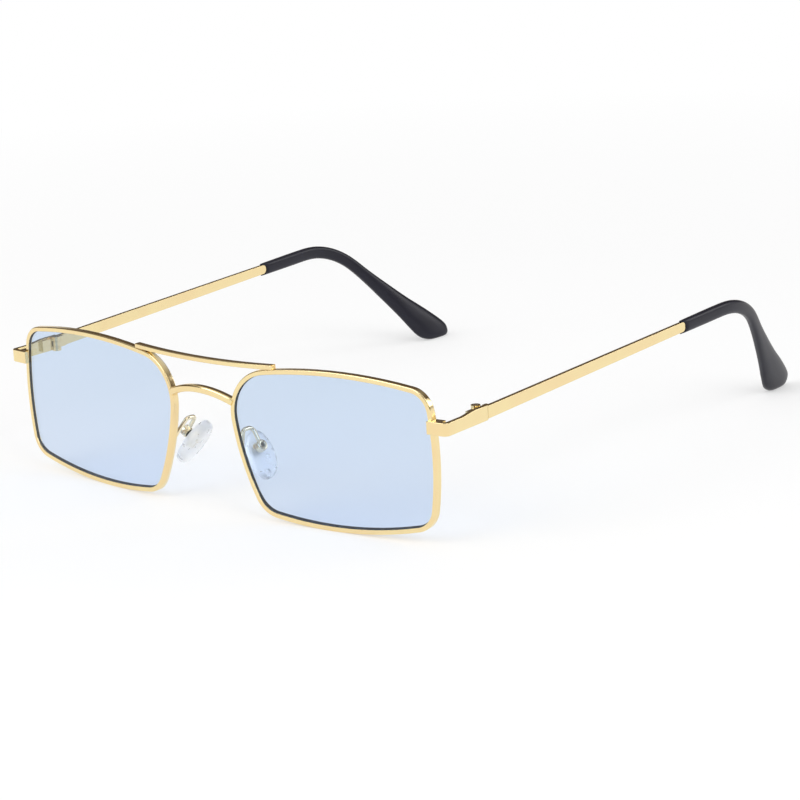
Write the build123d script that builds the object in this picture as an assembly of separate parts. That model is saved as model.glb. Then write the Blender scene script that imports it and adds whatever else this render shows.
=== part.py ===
from build123d import *
import os
from math import cos, radians, sin, sqrt, tan

# Narrow rectangle sunglasses, standing open on the lower rims and the temple tips.
# +X is the wearer's left, +Y runs back along the temples, +Z is up, and the floor is z = 0.
# Every place below is given for the wearer's left side, with y counted from the rim plane.
# The right side is the mirror image. All sizes are in millimetres and angles in degrees.

# Whole front
rim_plane_y = -75.3
nose_line_x = 11.5
rim_wrap = 5.8
overrun = 5.0

# Lens opening, anticlockwise from the lower nose corner
opening_width = 54.0
opening_height = 35.0
rim_centre_x = nose_line_x + opening_width / 2
corner_shares = ((-0.393, -0.443), (0.446, -0.381), (0.446, 0.464), (-0.536, 0.430))
bottom_bow = 2.54
temple_side_bow = 1.53
top_bow = 2.45
nose_side_bow = 2.19
nose_bottom_radius = 6.3
temple_bottom_radius = 5.3
temple_top_radius = 4.9
nose_top_radius = 10.2

# Rim wire
rim_width = 1.1
rim_depth = 1.8
rim_round = 0.25
groove_depth = 0.45
groove_half_width = 0.5
rim_slit = 0.15

# Lens
lens_thickness = 1.5
lens_gap = 0.04

# Brow bar
bar_half_length = 22.0
bar_height = 1.1
bar_depth = 1.65
bar_round = 0.15
bar_seat = 0.12
bar_forward_bow = 1.2
bar_dip = 0.5

# Bridge
bridge_height = 1.7
bridge_depth = 2.0
bridge_round = 0.45
bridge_end_x = 9.3
bridge_end_y = -2.3
bridge_end_z = 27.5
bridge_rise = 2.1
bridge_forward_bow = 1.1

# Endpiece, a bent plate with its face on the rim and a leg running back to the hinge
plate_thickness = 1.1
plate_reach = 4.38
plate_bottom_z = 26.3
plate_top_z = 29.3
leg_top_z = 29.8
leg_rise_start_y = 7.6
leg_rise_end_y = 13.2
seam_y = 17.2
corner_round = 1.2
inner_corner_round = 0.4
plate_edge_round = 0.12

# Closing blocks on the split rim
split_z = 27.8
block_width = 2.3
block_height = 1.3
block_relief = 0.1
block_round = 0.2
rim_screw_radius = 0.5
rim_screw_head_radius = 0.8
rim_screw_head_height = 0.45
rim_screw_gap = 0.02

# Hinge
hinge_inset = 2.2
hinge_y = 15.6
hinge_bottom_z = 26.4
hinge_top_z = 29.95
barrel_radius = 1.1
middle_knuckle_height = 1.3
knuckle_gap = 0.05
knuckle_clearance = 0.2
leaf_thickness = 0.85
front_leaf_length = 4.2
temple_leaf_length = 4.4
leaf_height = 2.7
leaf_setback = 0.2
neck_half_width = 0.5
hinge_screw_radius = 0.5
hinge_screw_gap = 0.03
screw_head_radius = 0.82
screw_head_height = 0.5
screw_slot_width = 0.25
screw_slot_depth = 0.22

# Temple strip
temple_inset = 0.5
temple_thickness = 1.0
temple_start_top_z = 29.55
temple_start_height = 2.95
temple_end_height = 2.4
temple_end_y = 93.8
temple_end_middle_z = 30.5
temple_edge_round = 0.15
seam_gap = 0.05

# Temple tip, along its centre line
tip_start_y = 91.9
tip_bend_y = 120.3
tip_bend_radius = 22.9
tip_inset = 12.3
tip_end_y = 152.0
tip_end_z = -0.9
tip_width = 8.8
tip_thickness = 2.8
tip_twist = 9.5
tip_twist_start_share = 0.5
tip_twist_end_share = 0.85
tip_corner_share = 0.42
tip_end_round = 0.8
tip_foot_round = 0.5
# Each station: share of the centre line, share of the width, share of the thickness
tip_station_shares = (
    (0.0, 0.368, 0.64),
    (0.06, 0.376, 0.70),
    (0.15, 0.383, 0.745),
    (0.27, 0.378, 0.755),
    (0.38, 0.374, 0.77),
    (0.47, 0.366, 0.79),
    (0.55, 0.378, 0.82),
    (0.61, 0.438, 0.85),
    (0.667, 0.525, 0.88),
    (0.73, 0.62, 0.91),
    (0.788, 0.73, 0.95),
    (0.831, 0.85, 0.98),
    (0.874, 0.95, 1.0),
    (0.918, 1.03, 1.0),
    (0.96, 1.09, 1.0),
    (1.0, 1.06, 0.97),
)
core_width = 1.4
core_thickness = 0.6
core_start_share = 0.015
core_end_share = 0.86
core_station_count = 9

# Nose pad
pad_x = 10.4
pad_y = 5.0
pad_z = 13.5
pad_frontal_angle = 36.0
pad_splay = 4.0
pad_lean = 12.0
pad_half_length = 6.6
pad_half_width = 3.7
pad_thickness = 2.7
pad_face_round = 1.1
pad_back_round = 0.7

# Metal insert in the pad, with its shank
insert_half_length = 2.3
insert_half_width = 1.3
insert_thickness = 0.5
insert_depth = 0.35
shank_radius = 0.62
shank_half_width = 0.6

# Pad box, a small cup on the end of the pad arm, and its cross screw
box_up = 0.6
box_back = 2.8
box_forward = 1.3
box_radius = 1.35
box_wall = 0.33
box_front_height = 0.75
box_back_height = 1.0
box_window_radius = 0.6
pad_screw_radius = 0.33
pad_screw_gap = 0.03
pad_screw_head_radius = 0.6
pad_screw_head_height = 0.45
pad_screw_end = 0.2

# Pad arm, a bent wire: root sunk in the rim, two bends, end on the pad box
arm_radius = 0.5
arm_bend_radius = 1.3
arm_root_z = 14.9
arm_root_sink = 0.95
arm_root_back = 0.5
arm_first_bend = (9.3, 1.2, 20.0)
arm_second_bend = (9.3, 4.3, 19.9)


def side_circle(start, end, bow):
    """Centre and radius of the side that bows out by bow between two corners."""
    chord = end - start
    radius = (chord.length**2 / 4 + bow**2) / (2 * bow)
    outward = Vector(chord.Y, -chord.X).normalized()
    return (start + end) * 0.5 - outward * (radius - bow), radius


def corner_centre(corner, before, after, radius):
    """Centre of the corner circle that touches the two side circles from inside."""
    span = after[0] - before[0]
    reach_before = before[1] - radius
    reach_after = after[1] - radius
    along = (reach_before**2 - reach_after**2 + span.length**2) / (2 * span.length)
    across = sqrt(reach_before**2 - along**2)
    forward = span.normalized()
    sideways = Vector(-forward.Y, forward.X)
    foot = before[0] + forward * along
    return min(foot + sideways * across, foot - sideways * across, key=lambda p: (p - corner).length)


corners = [Vector(opening_width * u, opening_height * v) for u, v in corner_shares]
bows = (bottom_bow, temple_side_bow, top_bow, nose_side_bow)
corner_radii = (nose_bottom_radius, temple_bottom_radius, temple_top_radius, nose_top_radius)
sides = [side_circle(corners[i], corners[(i + 1) % 4], bows[i]) for i in range(4)]
corner_centres = [
    corner_centre(corners[i], sides[i - 1], sides[i], corner_radii[i]) for i in range(4)
]
rim_centre_z = sides[0][1] + rim_width - sides[0][0].Y


def arc(centre, radius, start, end):
    """Arc about centre from the start direction to the end direction."""
    middle = (start + end).normalized()
    return ThreePointArc(centre + start * radius, centre + middle * radius, centre + end * radius)


def outline(grow):
    """The lens opening, grown outwards by a length, as a closed wire of tangent arcs."""
    edges = []
    for i in range(4):
        arrive = (corner_centres[i] - sides[i - 1][0]).normalized()
        leave = (corner_centres[i] - sides[i][0]).normalized()
        arrive_next = (corner_centres[(i + 1) % 4] - sides[i][0]).normalized()
        edges.append(arc(corner_centres[i], corner_radii[i] + grow, arrive, leave))
        edges.append(arc(sides[i][0], sides[i][1] + grow, leave, arrive_next))
    return Wire([edge.edge() for edge in edges])


def prism(grow, front, back):
    """The outline's prism between two depths, in the rim's own frame (z points forwards)."""
    return Pos(0, 0, back) * extrude(Face(outline(grow)), front - back)


def ridge(base_grow, tip_grow, half_width, depth):
    """A ring-shaped ridge with a body inside: the shape of a bevelled lens edge."""
    wires = [
        Pos(0, 0, depth + half_width) * outline(base_grow),
        Pos(0, 0, depth) * outline(tip_grow),
        Pos(0, 0, depth - half_width) * outline(base_grow),
    ]
    return Solid.make_loft(wires, True)


rim_frame = Plane(
    origin=(rim_centre_x, 0, rim_centre_z),
    x_dir=(cos(radians(rim_wrap)), sin(radians(rim_wrap)), 0),
    z_dir=(sin(radians(rim_wrap)), -cos(radians(rim_wrap)), 0),
)
rim_place = rim_frame.location
split_v = split_z - rim_centre_z
temple_side = sides[1]
rim_inner_u = temple_side[0].X + sqrt(temple_side[1] ** 2 - (split_v - temple_side[0].Y) ** 2)
rim_outer_u = rim_inner_u + rim_width

# Everything from the endpiece to the tip is placed from the outer edge of the rim
front_half_width = rim_centre_x + rim_outer_u * cos(radians(rim_wrap)) + plate_reach
temple_outer_x = front_half_width - temple_inset
hinge_x = temple_outer_x - hinge_inset
tip_end_x = temple_outer_x - tip_inset

rim_body = rim_place * prism(rim_width, overrun, -overrun)
rim_slab = rim_place * prism(rim_width, 0, -rim_depth)


def box_between(low, high):
    """A box between two opposite corners."""
    size = [b - a for a, b in zip(low, high)]
    middle = [(a + b) / 2 for a, b in zip(low, high)]
    return Pos(*middle) * Box(*size)


def rim():
    body = prism(rim_width, 0, -rim_depth)
    ends = body.faces().sort_by(Axis.Z)
    body = fillet(ends[0].edges() + ends[-1].edges(), rim_round)
    body -= prism(0, overrun, -overrun)
    body -= ridge(0, groove_depth, groove_half_width, -rim_depth / 2)
    body -= box_between(
        (rim_inner_u - overrun, split_v - rim_slit / 2, -rim_depth - overrun),
        (rim_outer_u + overrun, split_v + rim_slit / 2, overrun),
    )
    return rim_place * body


def lens():
    front = (lens_thickness - rim_depth) / 2
    body = prism(-lens_gap, front, front - lens_thickness)
    tip_grow = groove_depth - 2 * lens_gap
    body += ridge(-lens_gap, tip_grow, groove_half_width - lens_gap, -rim_depth / 2)
    return rim_place * body


def swept_bar(path, section):
    """A section swept along a path, its local X level and across the path."""
    tangent = path % 0
    frame = Plane(origin=path @ 0, x_dir=Vector(0, 0, 1).cross(tangent), z_dir=tangent)
    return sweep(frame * section, path)


def arch(end_x, end_y, end_z, forward_bow, rise):
    """An arc from the right side to the left that bows forwards and rises in the middle."""
    middle = (0, end_y - forward_bow, end_z + rise)
    return ThreePointArc((-end_x, end_y, end_z), middle, (end_x, end_y, end_z))


def brow_bar():
    bar_u = (bar_half_length - rim_centre_x) / cos(radians(rim_wrap))
    top_side = sides[2]
    rim_top = top_side[0].Y + sqrt((top_side[1] + rim_width) ** 2 - (bar_u - top_side[0].X) ** 2)
    end_y = bar_u * sin(radians(rim_wrap)) + bar_depth / 2
    end_z = rim_centre_z + rim_top + bar_height / 2 - bar_seat
    path = arch(bar_half_length, end_y, end_z, bar_forward_bow, -bar_dip)
    bar = swept_bar(path, RectangleRounded(bar_depth, bar_height, bar_round))
    return bar - rim_body - mirror(rim_body, Plane.YZ)


def bridge():
    path = arch(bridge_end_x, bridge_end_y, bridge_end_z, bridge_forward_bow, bridge_rise)
    bar = swept_bar(path, RectangleRounded(bridge_depth, bridge_height, bridge_round))
    return bar - rim_body - mirror(rim_body, Plane.YZ)


def meet(start, direction, other_start, other_direction):
    """Where two level lines cross, seen from above."""
    offset = other_start - start
    cross = direction.X * other_direction.Y - direction.Y * other_direction.X
    step = (offset.X * other_direction.Y - offset.Y * other_direction.X) / cross
    return start + direction * step


# The endpiece's plate and leg, seen from above
plate_run = Vector(cos(radians(rim_wrap)), sin(radians(rim_wrap)))
plate_forward = Vector(sin(radians(rim_wrap)), -cos(radians(rim_wrap)))
plate_back_start = Vector(rim_centre_x, 0) + plate_run * rim_inner_u
plate_front_start = plate_back_start + plate_forward * plate_thickness
leg_end_outer = Vector(temple_outer_x, seam_y)
leg_run = (Vector(front_half_width, plate_front_start.Y + corner_round) - leg_end_outer).normalized()
leg_inward = Vector(leg_run.Y, -leg_run.X)
leg_end_inner = leg_end_outer + leg_inward * plate_thickness
outer_corner = meet(plate_front_start, plate_run, leg_end_outer, leg_run)
inner_corner = meet(plate_back_start, plate_run, leg_end_inner, leg_run)


def endpiece():
    plan = Polyline(
        plate_front_start, outer_corner, leg_end_outer, leg_end_inner, inner_corner, plate_back_start,
        close=True,
    )
    body = Pos(0, 0, plate_bottom_z) * extrude(make_face(plan), leg_top_z - plate_bottom_z)
    upright = body.edges().filter_by(Axis.Z)
    outer_edge = upright.sort_by_distance((outer_corner.X, outer_corner.Y, plate_top_z))[0]
    body = fillet(outer_edge, corner_round)
    upright = body.edges().filter_by(Axis.Z)
    inner_edge = upright.sort_by_distance((inner_corner.X, inner_corner.Y, plate_top_z))[0]
    body = fillet(inner_edge, inner_corner_round)
    body -= endpiece_top_cut()
    return fillet(body.edges(), plate_edge_round)


def endpiece_top_cut():
    """What lies above the plate's top edge, which rises in a soft S to the hinge."""
    front_y = plate_front_start.Y - overrun
    rise = Spline(
        (0, leg_rise_start_y, plate_top_z),
        (0, leg_rise_end_y, leg_top_z),
        tangents=((0, 1, 0), (0, 1, 0)),
    )
    rest = Polyline(
        (0, leg_rise_end_y, leg_top_z),
        (0, leg_rise_end_y, leg_top_z + overrun),
        (0, front_y, leg_top_z + overrun),
        (0, front_y, plate_top_z),
        (0, leg_rise_start_y, plate_top_z),
    )
    profile = make_face(Wire([rise.edge()] + list(rest.edges())))
    return extrude(profile, front_half_width + overrun, dir=(1, 0, 0))


def closing_block(upper):
    """One of the two blocks that the screw draws together to close the rim."""
    near = split_v + (rim_slit / 2 if upper else -rim_slit / 2)
    far = near + (block_height if upper else -block_height)
    front = 0 if upper else -block_relief
    body = box_between(
        (rim_inner_u, min(near, far), -rim_depth), (rim_outer_u + block_width, max(near, far), front)
    )
    outer_edges = body.edges().filter_by(Axis.Y).sort_by(Axis.X)[-2:]
    body = fillet(outer_edges.sort_by(Axis.Z)[0], block_round)
    body -= prism(rim_width, overrun, -overrun)
    body -= rim_screw_axis() * Cylinder(rim_screw_radius + rim_screw_gap, opening_height)
    return rim_place * body


def rim_screw_axis():
    """Middle of the closing screw's axis, which runs up the rim's own frame."""
    return Pos(rim_outer_u + block_width / 2, split_v, -rim_depth / 2) * Rot(-90, 0, 0)


def rim_screw():
    length = rim_slit + 2 * block_height
    shank = Cylinder(rim_screw_radius, length)
    head = Pos(0, 0, -(length + rim_screw_head_height) / 2)
    body = shank + head * Cylinder(rim_screw_head_radius, rim_screw_head_height)
    slot_place = Pos(0, 0, -length / 2 - rim_screw_head_height + screw_slot_depth / 2)
    body -= slot_place * Box(2 * rim_screw_head_radius, screw_slot_width, screw_slot_depth)
    return rim_place * rim_screw_axis() * body


hinge_middle_z = (hinge_bottom_z + hinge_top_z) / 2
hinge_height = hinge_top_z - hinge_bottom_z
hinge_axis = Pos(hinge_x, hinge_y, hinge_middle_z)


def leg_inner_x(y):
    """X of the leg's inner face at a given y."""
    return leg_end_inner.X + leg_run.X * (y - leg_end_inner.Y) / leg_run.Y


def upright_plate(points, height):
    """A plan outline extruded to a height, centred on the hinge's height."""
    plan = make_face(Polyline(*points, close=True))
    return Pos(0, 0, hinge_middle_z - height / 2) * extrude(plan, height)


def hinge_front():
    """Leaf on the leg's inner face with the upper and lower knuckles."""
    leaf_y = hinge_y - front_leaf_length
    leaf = upright_plate(
        (
            (leg_inner_x(leaf_y), leaf_y),
            (leg_inner_x(hinge_y), hinge_y),
            (leg_inner_x(hinge_y) - leaf_thickness, hinge_y),
            (leg_inner_x(leaf_y) - leaf_thickness, leaf_y),
        ),
        leaf_height,
    )
    body = leaf + hinge_axis * Cylinder(barrel_radius, hinge_height)
    space_height = middle_knuckle_height + 2 * knuckle_gap
    body -= hinge_axis * Cylinder(barrel_radius + knuckle_clearance, space_height)
    body -= hinge_axis * Cylinder(hinge_screw_radius + hinge_screw_gap, hinge_height)
    head_place = Pos(0, 0, (hinge_height - screw_head_height) / 2)
    body -= hinge_axis * head_place * Cylinder(screw_head_radius + hinge_screw_gap, screw_head_height)
    return body


def hinge_temple():
    """Round-ended leaf on the temple's inner face, with a neck and the middle knuckle."""
    inner_x = temple_outer_x - temple_thickness
    leaf_start = seam_y + leaf_setback
    leaf_end = hinge_y + temple_leaf_length
    round_y = leaf_end - leaf_height / 2
    side = Pos(inner_x - leaf_thickness, round_y, hinge_middle_z) * Rot(0, 90, 0)
    body = box_between(
        (inner_x - leaf_thickness, leaf_start, hinge_middle_z - leaf_height / 2),
        (inner_x, round_y, hinge_middle_z + leaf_height / 2),
    )
    body += side * Cylinder(leaf_height / 2, leaf_thickness, align=(Align.CENTER, Align.CENTER, Align.MIN))
    neck_x = inner_x - leaf_thickness
    body += box_between(
        (neck_x - neck_half_width, hinge_y, hinge_middle_z - middle_knuckle_height / 2),
        (neck_x + neck_half_width, leaf_start + leaf_setback, hinge_middle_z + middle_knuckle_height / 2),
    )
    body += hinge_axis * Cylinder(barrel_radius, middle_knuckle_height)
    body -= hinge_axis * Cylinder(hinge_screw_radius + hinge_screw_gap, hinge_height)
    return body


def hinge_screw():
    shank = hinge_axis * Cylinder(hinge_screw_radius, hinge_height)
    head_place = Pos(0, 0, (hinge_height - screw_head_height) / 2)
    body = shank + hinge_axis * head_place * Cylinder(screw_head_radius, screw_head_height)
    slot_place = Pos(0, 0, (hinge_height - screw_slot_depth) / 2)
    body -= hinge_axis * slot_place * Box(2 * screw_head_radius, screw_slot_width, screw_slot_depth)
    return body


temple_middle_x = temple_outer_x - temple_thickness / 2
temple_start_middle_z = temple_start_top_z - temple_start_height / 2
temple_slope = (temple_end_middle_z - temple_start_middle_z) / (temple_end_y - seam_y)


def temple_middle_z(y):
    """Height of the temple's straight centre line at a given y."""
    return temple_start_middle_z + temple_slope * (y - seam_y)


tip_start = Vector(temple_middle_x, tip_start_y, temple_middle_z(tip_start_y))
tip_bend = Vector(temple_middle_x, tip_bend_y, temple_middle_z(tip_bend_y))
tip_end = Vector(tip_end_x, tip_end_y, tip_end_z)


def tip_path():
    """The tip's centre line: a straight run, a bend over the ear and a straight drop."""
    inward = (tip_bend - tip_start).normalized()
    outward = (tip_end - tip_bend).normalized()
    half_turn = radians(inward.get_angle(outward)) / 2
    tangent_length = tip_bend_radius * tan(half_turn)
    bend_start = tip_bend - inward * tangent_length
    bend_end = tip_bend + outward * tangent_length
    to_centre = (outward - inward).normalized()
    bend_middle = tip_bend + to_centre * (tip_bend_radius / cos(half_turn) - tip_bend_radius)
    run = Line(tip_start, bend_start)
    bend = ThreePointArc(bend_start, bend_middle, bend_end)
    drop = Line(bend_end, tip_end)
    return Wire([run.edge(), bend.edge(), drop.edge()])


def tip_frame(path, share):
    """Section frame at a share of the centre line, its X along the tip's height; the paddle twists."""
    tangent = path % share
    level = Plane(origin=path @ share, x_dir=(0, -tangent.Z, tangent.Y), z_dir=tangent)
    step = (share - tip_twist_start_share) / (tip_twist_end_share - tip_twist_start_share)
    step = min(max(step, 0), 1)
    return level * Rot(0, 0, tip_twist * step * step * (3 - 2 * step))


def temple_profile():
    """The strip seen from the side: tapered, with a full round at its rear end."""
    start_y = seam_y + seam_gap
    start_half = temple_start_height / 2
    end_half = temple_end_height / 2
    round_y = temple_end_y - end_half
    outline_points = (
        (0, start_y, temple_middle_z(start_y) - start_half),
        (0, round_y, temple_middle_z(round_y) - end_half),
        (0, round_y, temple_middle_z(round_y) + end_half),
        (0, start_y, temple_middle_z(start_y) + start_half),
    )
    profile = make_face(Polyline(*outline_points, close=True))
    rear = Plane(origin=(0, round_y, temple_middle_z(round_y)), x_dir=(0, 1, 0), z_dir=(1, 0, 0))
    return profile + rear * Circle(end_half)


def temple_core():
    """The flat core that runs on inside the tip."""
    path = tip_path()
    step = (core_end_share - core_start_share) / (core_station_count - 1)
    wires = []
    for i in range(core_station_count):
        frame = tip_frame(path, core_start_share + i * step)
        wires.append((frame * Rectangle(core_width, core_thickness)).wire())
    return Solid.make_loft(wires)


def temple():
    strip = Pos(temple_outer_x, 0, 0) * extrude(temple_profile(), temple_thickness, dir=(-1, 0, 0))
    outer_face = strip.faces().sort_by(Axis.X)[-1]
    strip = fillet(outer_face.edges(), temple_edge_round)
    return strip + temple_core()


def temple_tip():
    path = tip_path()
    sections = []
    for share, width_share, thickness_share in tip_station_shares:
        thickness = tip_thickness * thickness_share
        section = RectangleRounded(tip_width * width_share, thickness, thickness * tip_corner_share)
        sections.append((tip_frame(path, share) * section).wire())
    body = Solid.make_loft(sections)
    end_face = body.faces().sort_by_distance(tip_end)[0]
    body = fillet(end_face.edges(), tip_end_round)
    body -= Pos(temple_middle_x - tip_thickness, 0, 0) * extrude(
        temple_profile(), 2 * tip_thickness, dir=(1, 0, 0)
    )
    body -= temple_core()
    floor_low = (tip_end_x - tip_width, tip_bend_y, -overrun)
    body -= box_between(floor_low, (temple_outer_x, tip_end_y + tip_width, 0))
    foot = body.faces().sort_by(Axis.Z)[0]
    return fillet(foot.edges(), tip_foot_round)


def turned(vector):
    """A direction of the upright, sideways-facing pad turned to the pad's real attitude."""
    lean = vector.rotate(Axis.X, -pad_lean)
    return lean.rotate(Axis.Y, -pad_frontal_angle).rotate(Axis.Z, -pad_splay)


# The pad's own frame: X up the pad, Y back across it, Z out of its nose side
pad_frame = Plane(
    origin=(pad_x, pad_y, pad_z), x_dir=turned(Vector(0, 0, 1)), z_dir=turned(Vector(-1, 0, 0))
)
pad_place = pad_frame.location
box_place = pad_place * Pos(box_up, -box_forward, -box_back)
cross_screw_place = box_place * Rot(-90, 0, 0)


def pad_insert():
    """Oval plate inside the pad with the shank that the cross screw passes through."""
    plate_z = pad_thickness / 2 - insert_depth - insert_thickness
    plate = Pos(box_up, -box_forward, -plate_z) * extrude(
        Ellipse(insert_half_length, insert_half_width), insert_thickness
    )
    body = pad_place * plate
    shank_length = box_back - plate_z
    shank = Box(2 * shank_radius, 2 * shank_half_width, shank_length)
    body += box_place * Pos(0, 0, shank_length / 2) * shank
    body += cross_screw_place * Cylinder(shank_radius, 2 * shank_half_width)
    return body - cross_screw_place * Cylinder(pad_screw_radius + pad_screw_gap, overrun)


def nose_pad():
    disc = Pos(0, 0, -pad_thickness / 2) * extrude(Ellipse(pad_half_length, pad_half_width), pad_thickness)
    ends = disc.faces().sort_by(Axis.Z)
    disc = fillet(ends[-1].edges(), pad_face_round)
    ends = disc.faces().sort_by(Axis.Z)
    disc = fillet(ends[0].edges(), pad_back_round)
    return pad_place * disc - pad_insert()


def pad_box():
    """The cup: round, open towards the pad, with a window in its floor."""
    height = box_front_height + box_back_height
    middle = Pos(0, 0, (box_front_height - box_back_height) / 2)
    body = middle * Cylinder(box_radius, height)
    hollow = Pos(0, 0, (box_front_height - box_back_height + box_wall) / 2)
    body -= hollow * Cylinder(box_radius - box_wall, height - box_wall)
    body -= Cylinder(box_window_radius, overrun)
    body = box_place * body
    return body - cross_screw_place * Cylinder(pad_screw_radius + pad_screw_gap, overrun)


def pad_screw():
    start = -box_radius - pad_screw_head_height
    length = 2 * box_radius + pad_screw_head_height + pad_screw_end
    from_head = (Align.CENTER, Align.CENTER, Align.MIN)
    body = Pos(0, 0, start) * Cylinder(pad_screw_radius, length, align=from_head)
    body += Pos(0, 0, start) * Cylinder(pad_screw_head_radius, pad_screw_head_height, align=from_head)
    slot_place = Pos(0, 0, start + screw_slot_depth / 2)
    body -= slot_place * Box(2 * pad_screw_head_radius, screw_slot_width, screw_slot_depth)
    return cross_screw_place * body


def bent_wire(points, bend_radius, wire_radius):
    """A round wire along straight runs joined by tangent arcs."""
    edges = []
    start = points[0]
    for before, corner, after in zip(points, points[1:], points[2:]):
        arrive = (corner - before).normalized()
        leave = (after - corner).normalized()
        half_turn = radians(arrive.get_angle(leave)) / 2
        tangent_length = bend_radius * tan(half_turn)
        bend_start = corner - arrive * tangent_length
        bend_end = corner + leave * tangent_length
        middle = corner + (leave - arrive).normalized() * (bend_radius / cos(half_turn) - bend_radius)
        edges.append(Line(start, bend_start).edge())
        edges.append(ThreePointArc(bend_start, middle, bend_end).edge())
        start = bend_end
    edges.append(Line(start, points[-1]).edge())
    path = Wire(edges)
    section = Plane(origin=path @ 0, z_dir=path % 0) * Circle(wire_radius)
    return sweep(section, path)


def arm_root():
    """Where the arm starts, inside the rim's nose side."""
    root_v = arm_root_z - rim_centre_z
    nose_side = sides[3]
    rise = root_v - nose_side[0].Y
    outer_u = nose_side[0].X - sqrt((nose_side[1] + rim_width) ** 2 - rise**2)
    return (rim_place * Pos(outer_u + arm_root_sink, root_v, -arm_root_back)).position


def pad_arm():
    box_top = box_place * Pos(box_radius - box_wall, 0, 0)
    points = [arm_root(), Vector(*arm_first_bend), Vector(*arm_second_bend), box_top.position]
    body = bent_wire(points, arm_bend_radius, arm_radius)
    height = box_front_height + box_back_height
    cup = Pos(0, 0, (box_front_height - box_back_height) / 2) * Cylinder(box_radius, height)
    return body - rim_slab - box_place * cup


side_parts = {
    "rim": rim(),
    "lens": lens(),
    "closing_block_upper": closing_block(True),
    "closing_block_lower": closing_block(False),
    "rim_screw": rim_screw(),
    "endpiece": endpiece(),
    "hinge_front": hinge_front(),
    "hinge_temple": hinge_temple(),
    "hinge_screw": hinge_screw(),
    "temple": temple(),
    "temple_tip": temple_tip(),
    "pad_arm": pad_arm(),
    "pad_box": pad_box(),
    "pad_screw": pad_screw(),
    "pad_insert": pad_insert(),
    "nose_pad": nose_pad(),
}

row_place = Pos(0, rim_plane_y, 0)
os.makedirs("parts", exist_ok=True)
export_step(row_place * brow_bar(), "parts/brow_bar.step")
export_step(row_place * bridge(), "parts/bridge.step")
for name, shape in side_parts.items():
    export_step(row_place * shape, f"parts/{name}_left.step")
    export_step(row_place * mirror(shape, Plane.YZ), f"parts/{name}_right.step")
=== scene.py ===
from math import asin, atan2, copysign, cos, radians, sin, sqrt, tan, tau

import bmesh
import bpy
from bpy.props import FloatProperty, FloatVectorProperty, PointerProperty
from mathutils import Matrix, Vector


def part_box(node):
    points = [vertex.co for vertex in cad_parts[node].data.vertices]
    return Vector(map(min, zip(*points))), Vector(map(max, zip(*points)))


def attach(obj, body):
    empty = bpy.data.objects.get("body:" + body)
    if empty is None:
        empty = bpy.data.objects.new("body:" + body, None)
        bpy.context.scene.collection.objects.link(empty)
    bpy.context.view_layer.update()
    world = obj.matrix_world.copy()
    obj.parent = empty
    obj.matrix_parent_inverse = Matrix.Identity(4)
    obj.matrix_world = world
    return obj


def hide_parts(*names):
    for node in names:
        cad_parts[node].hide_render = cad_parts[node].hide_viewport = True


# Narrow rectangle sunglasses with a gold wire front, blue lenses and black temple tips.
# +X is the wearer's left, +Y runs back along the temples, +Z is up. Lengths are in metres.
# The pieces of a pair are shaped for the wearer's left side and mirrored for the right.

bl_info = {
    "name": "Narrow Rectangle Sunglasses",
    "version": (1, 0, 0),
    "blender": (4, 5, 0),
    "location": "View3D > Sidebar > Sunglasses",
    "description": "Shapes the rims, lenses, bars, endpieces, pads and temples and gives them finishes",
    "category": "Object",
}

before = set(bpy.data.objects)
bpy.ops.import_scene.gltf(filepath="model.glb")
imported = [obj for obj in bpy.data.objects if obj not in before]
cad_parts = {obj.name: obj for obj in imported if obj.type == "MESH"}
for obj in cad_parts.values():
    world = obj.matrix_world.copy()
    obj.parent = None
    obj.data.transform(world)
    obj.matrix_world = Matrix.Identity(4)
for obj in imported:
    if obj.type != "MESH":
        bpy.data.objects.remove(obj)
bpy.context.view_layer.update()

SIDES = ("left", "right")
FRONT_BODY = "front"
FRONT_BODIES = {"left": FRONT_BODY, "right": FRONT_BODY}
TEMPLE_BODIES = {"left": "temple_left_body", "right": "temple_right_body"}
PAD_BODIES = {"left": "nose_pad_left_body", "right": "nose_pad_right_body"}


def length_setting(name, description, default):
    """A setting that is a length in metres."""
    return FloatProperty(name=name, description=description, unit="LENGTH", default=default)


def angle_setting(name, description, default):
    """A setting that is an angle in radians."""
    return FloatProperty(name=name, description=description, subtype="ANGLE", default=default)


def share_setting(name, description, default):
    """A setting that is a share from 0 to 1."""
    return FloatProperty(
        name=name, description=description, subtype="FACTOR", min=0, max=1, default=default
    )


def colour_setting(name, description, default):
    """A setting that is a colour."""
    return FloatVectorProperty(
        name=name, description=description, subtype="COLOR", size=3, min=0, max=1, default=default
    )


def point_setting(name, description, default):
    """A setting that is a point in metres."""
    return FloatVectorProperty(
        name=name, description=description, subtype="TRANSLATION", size=3, default=default
    )


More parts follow.
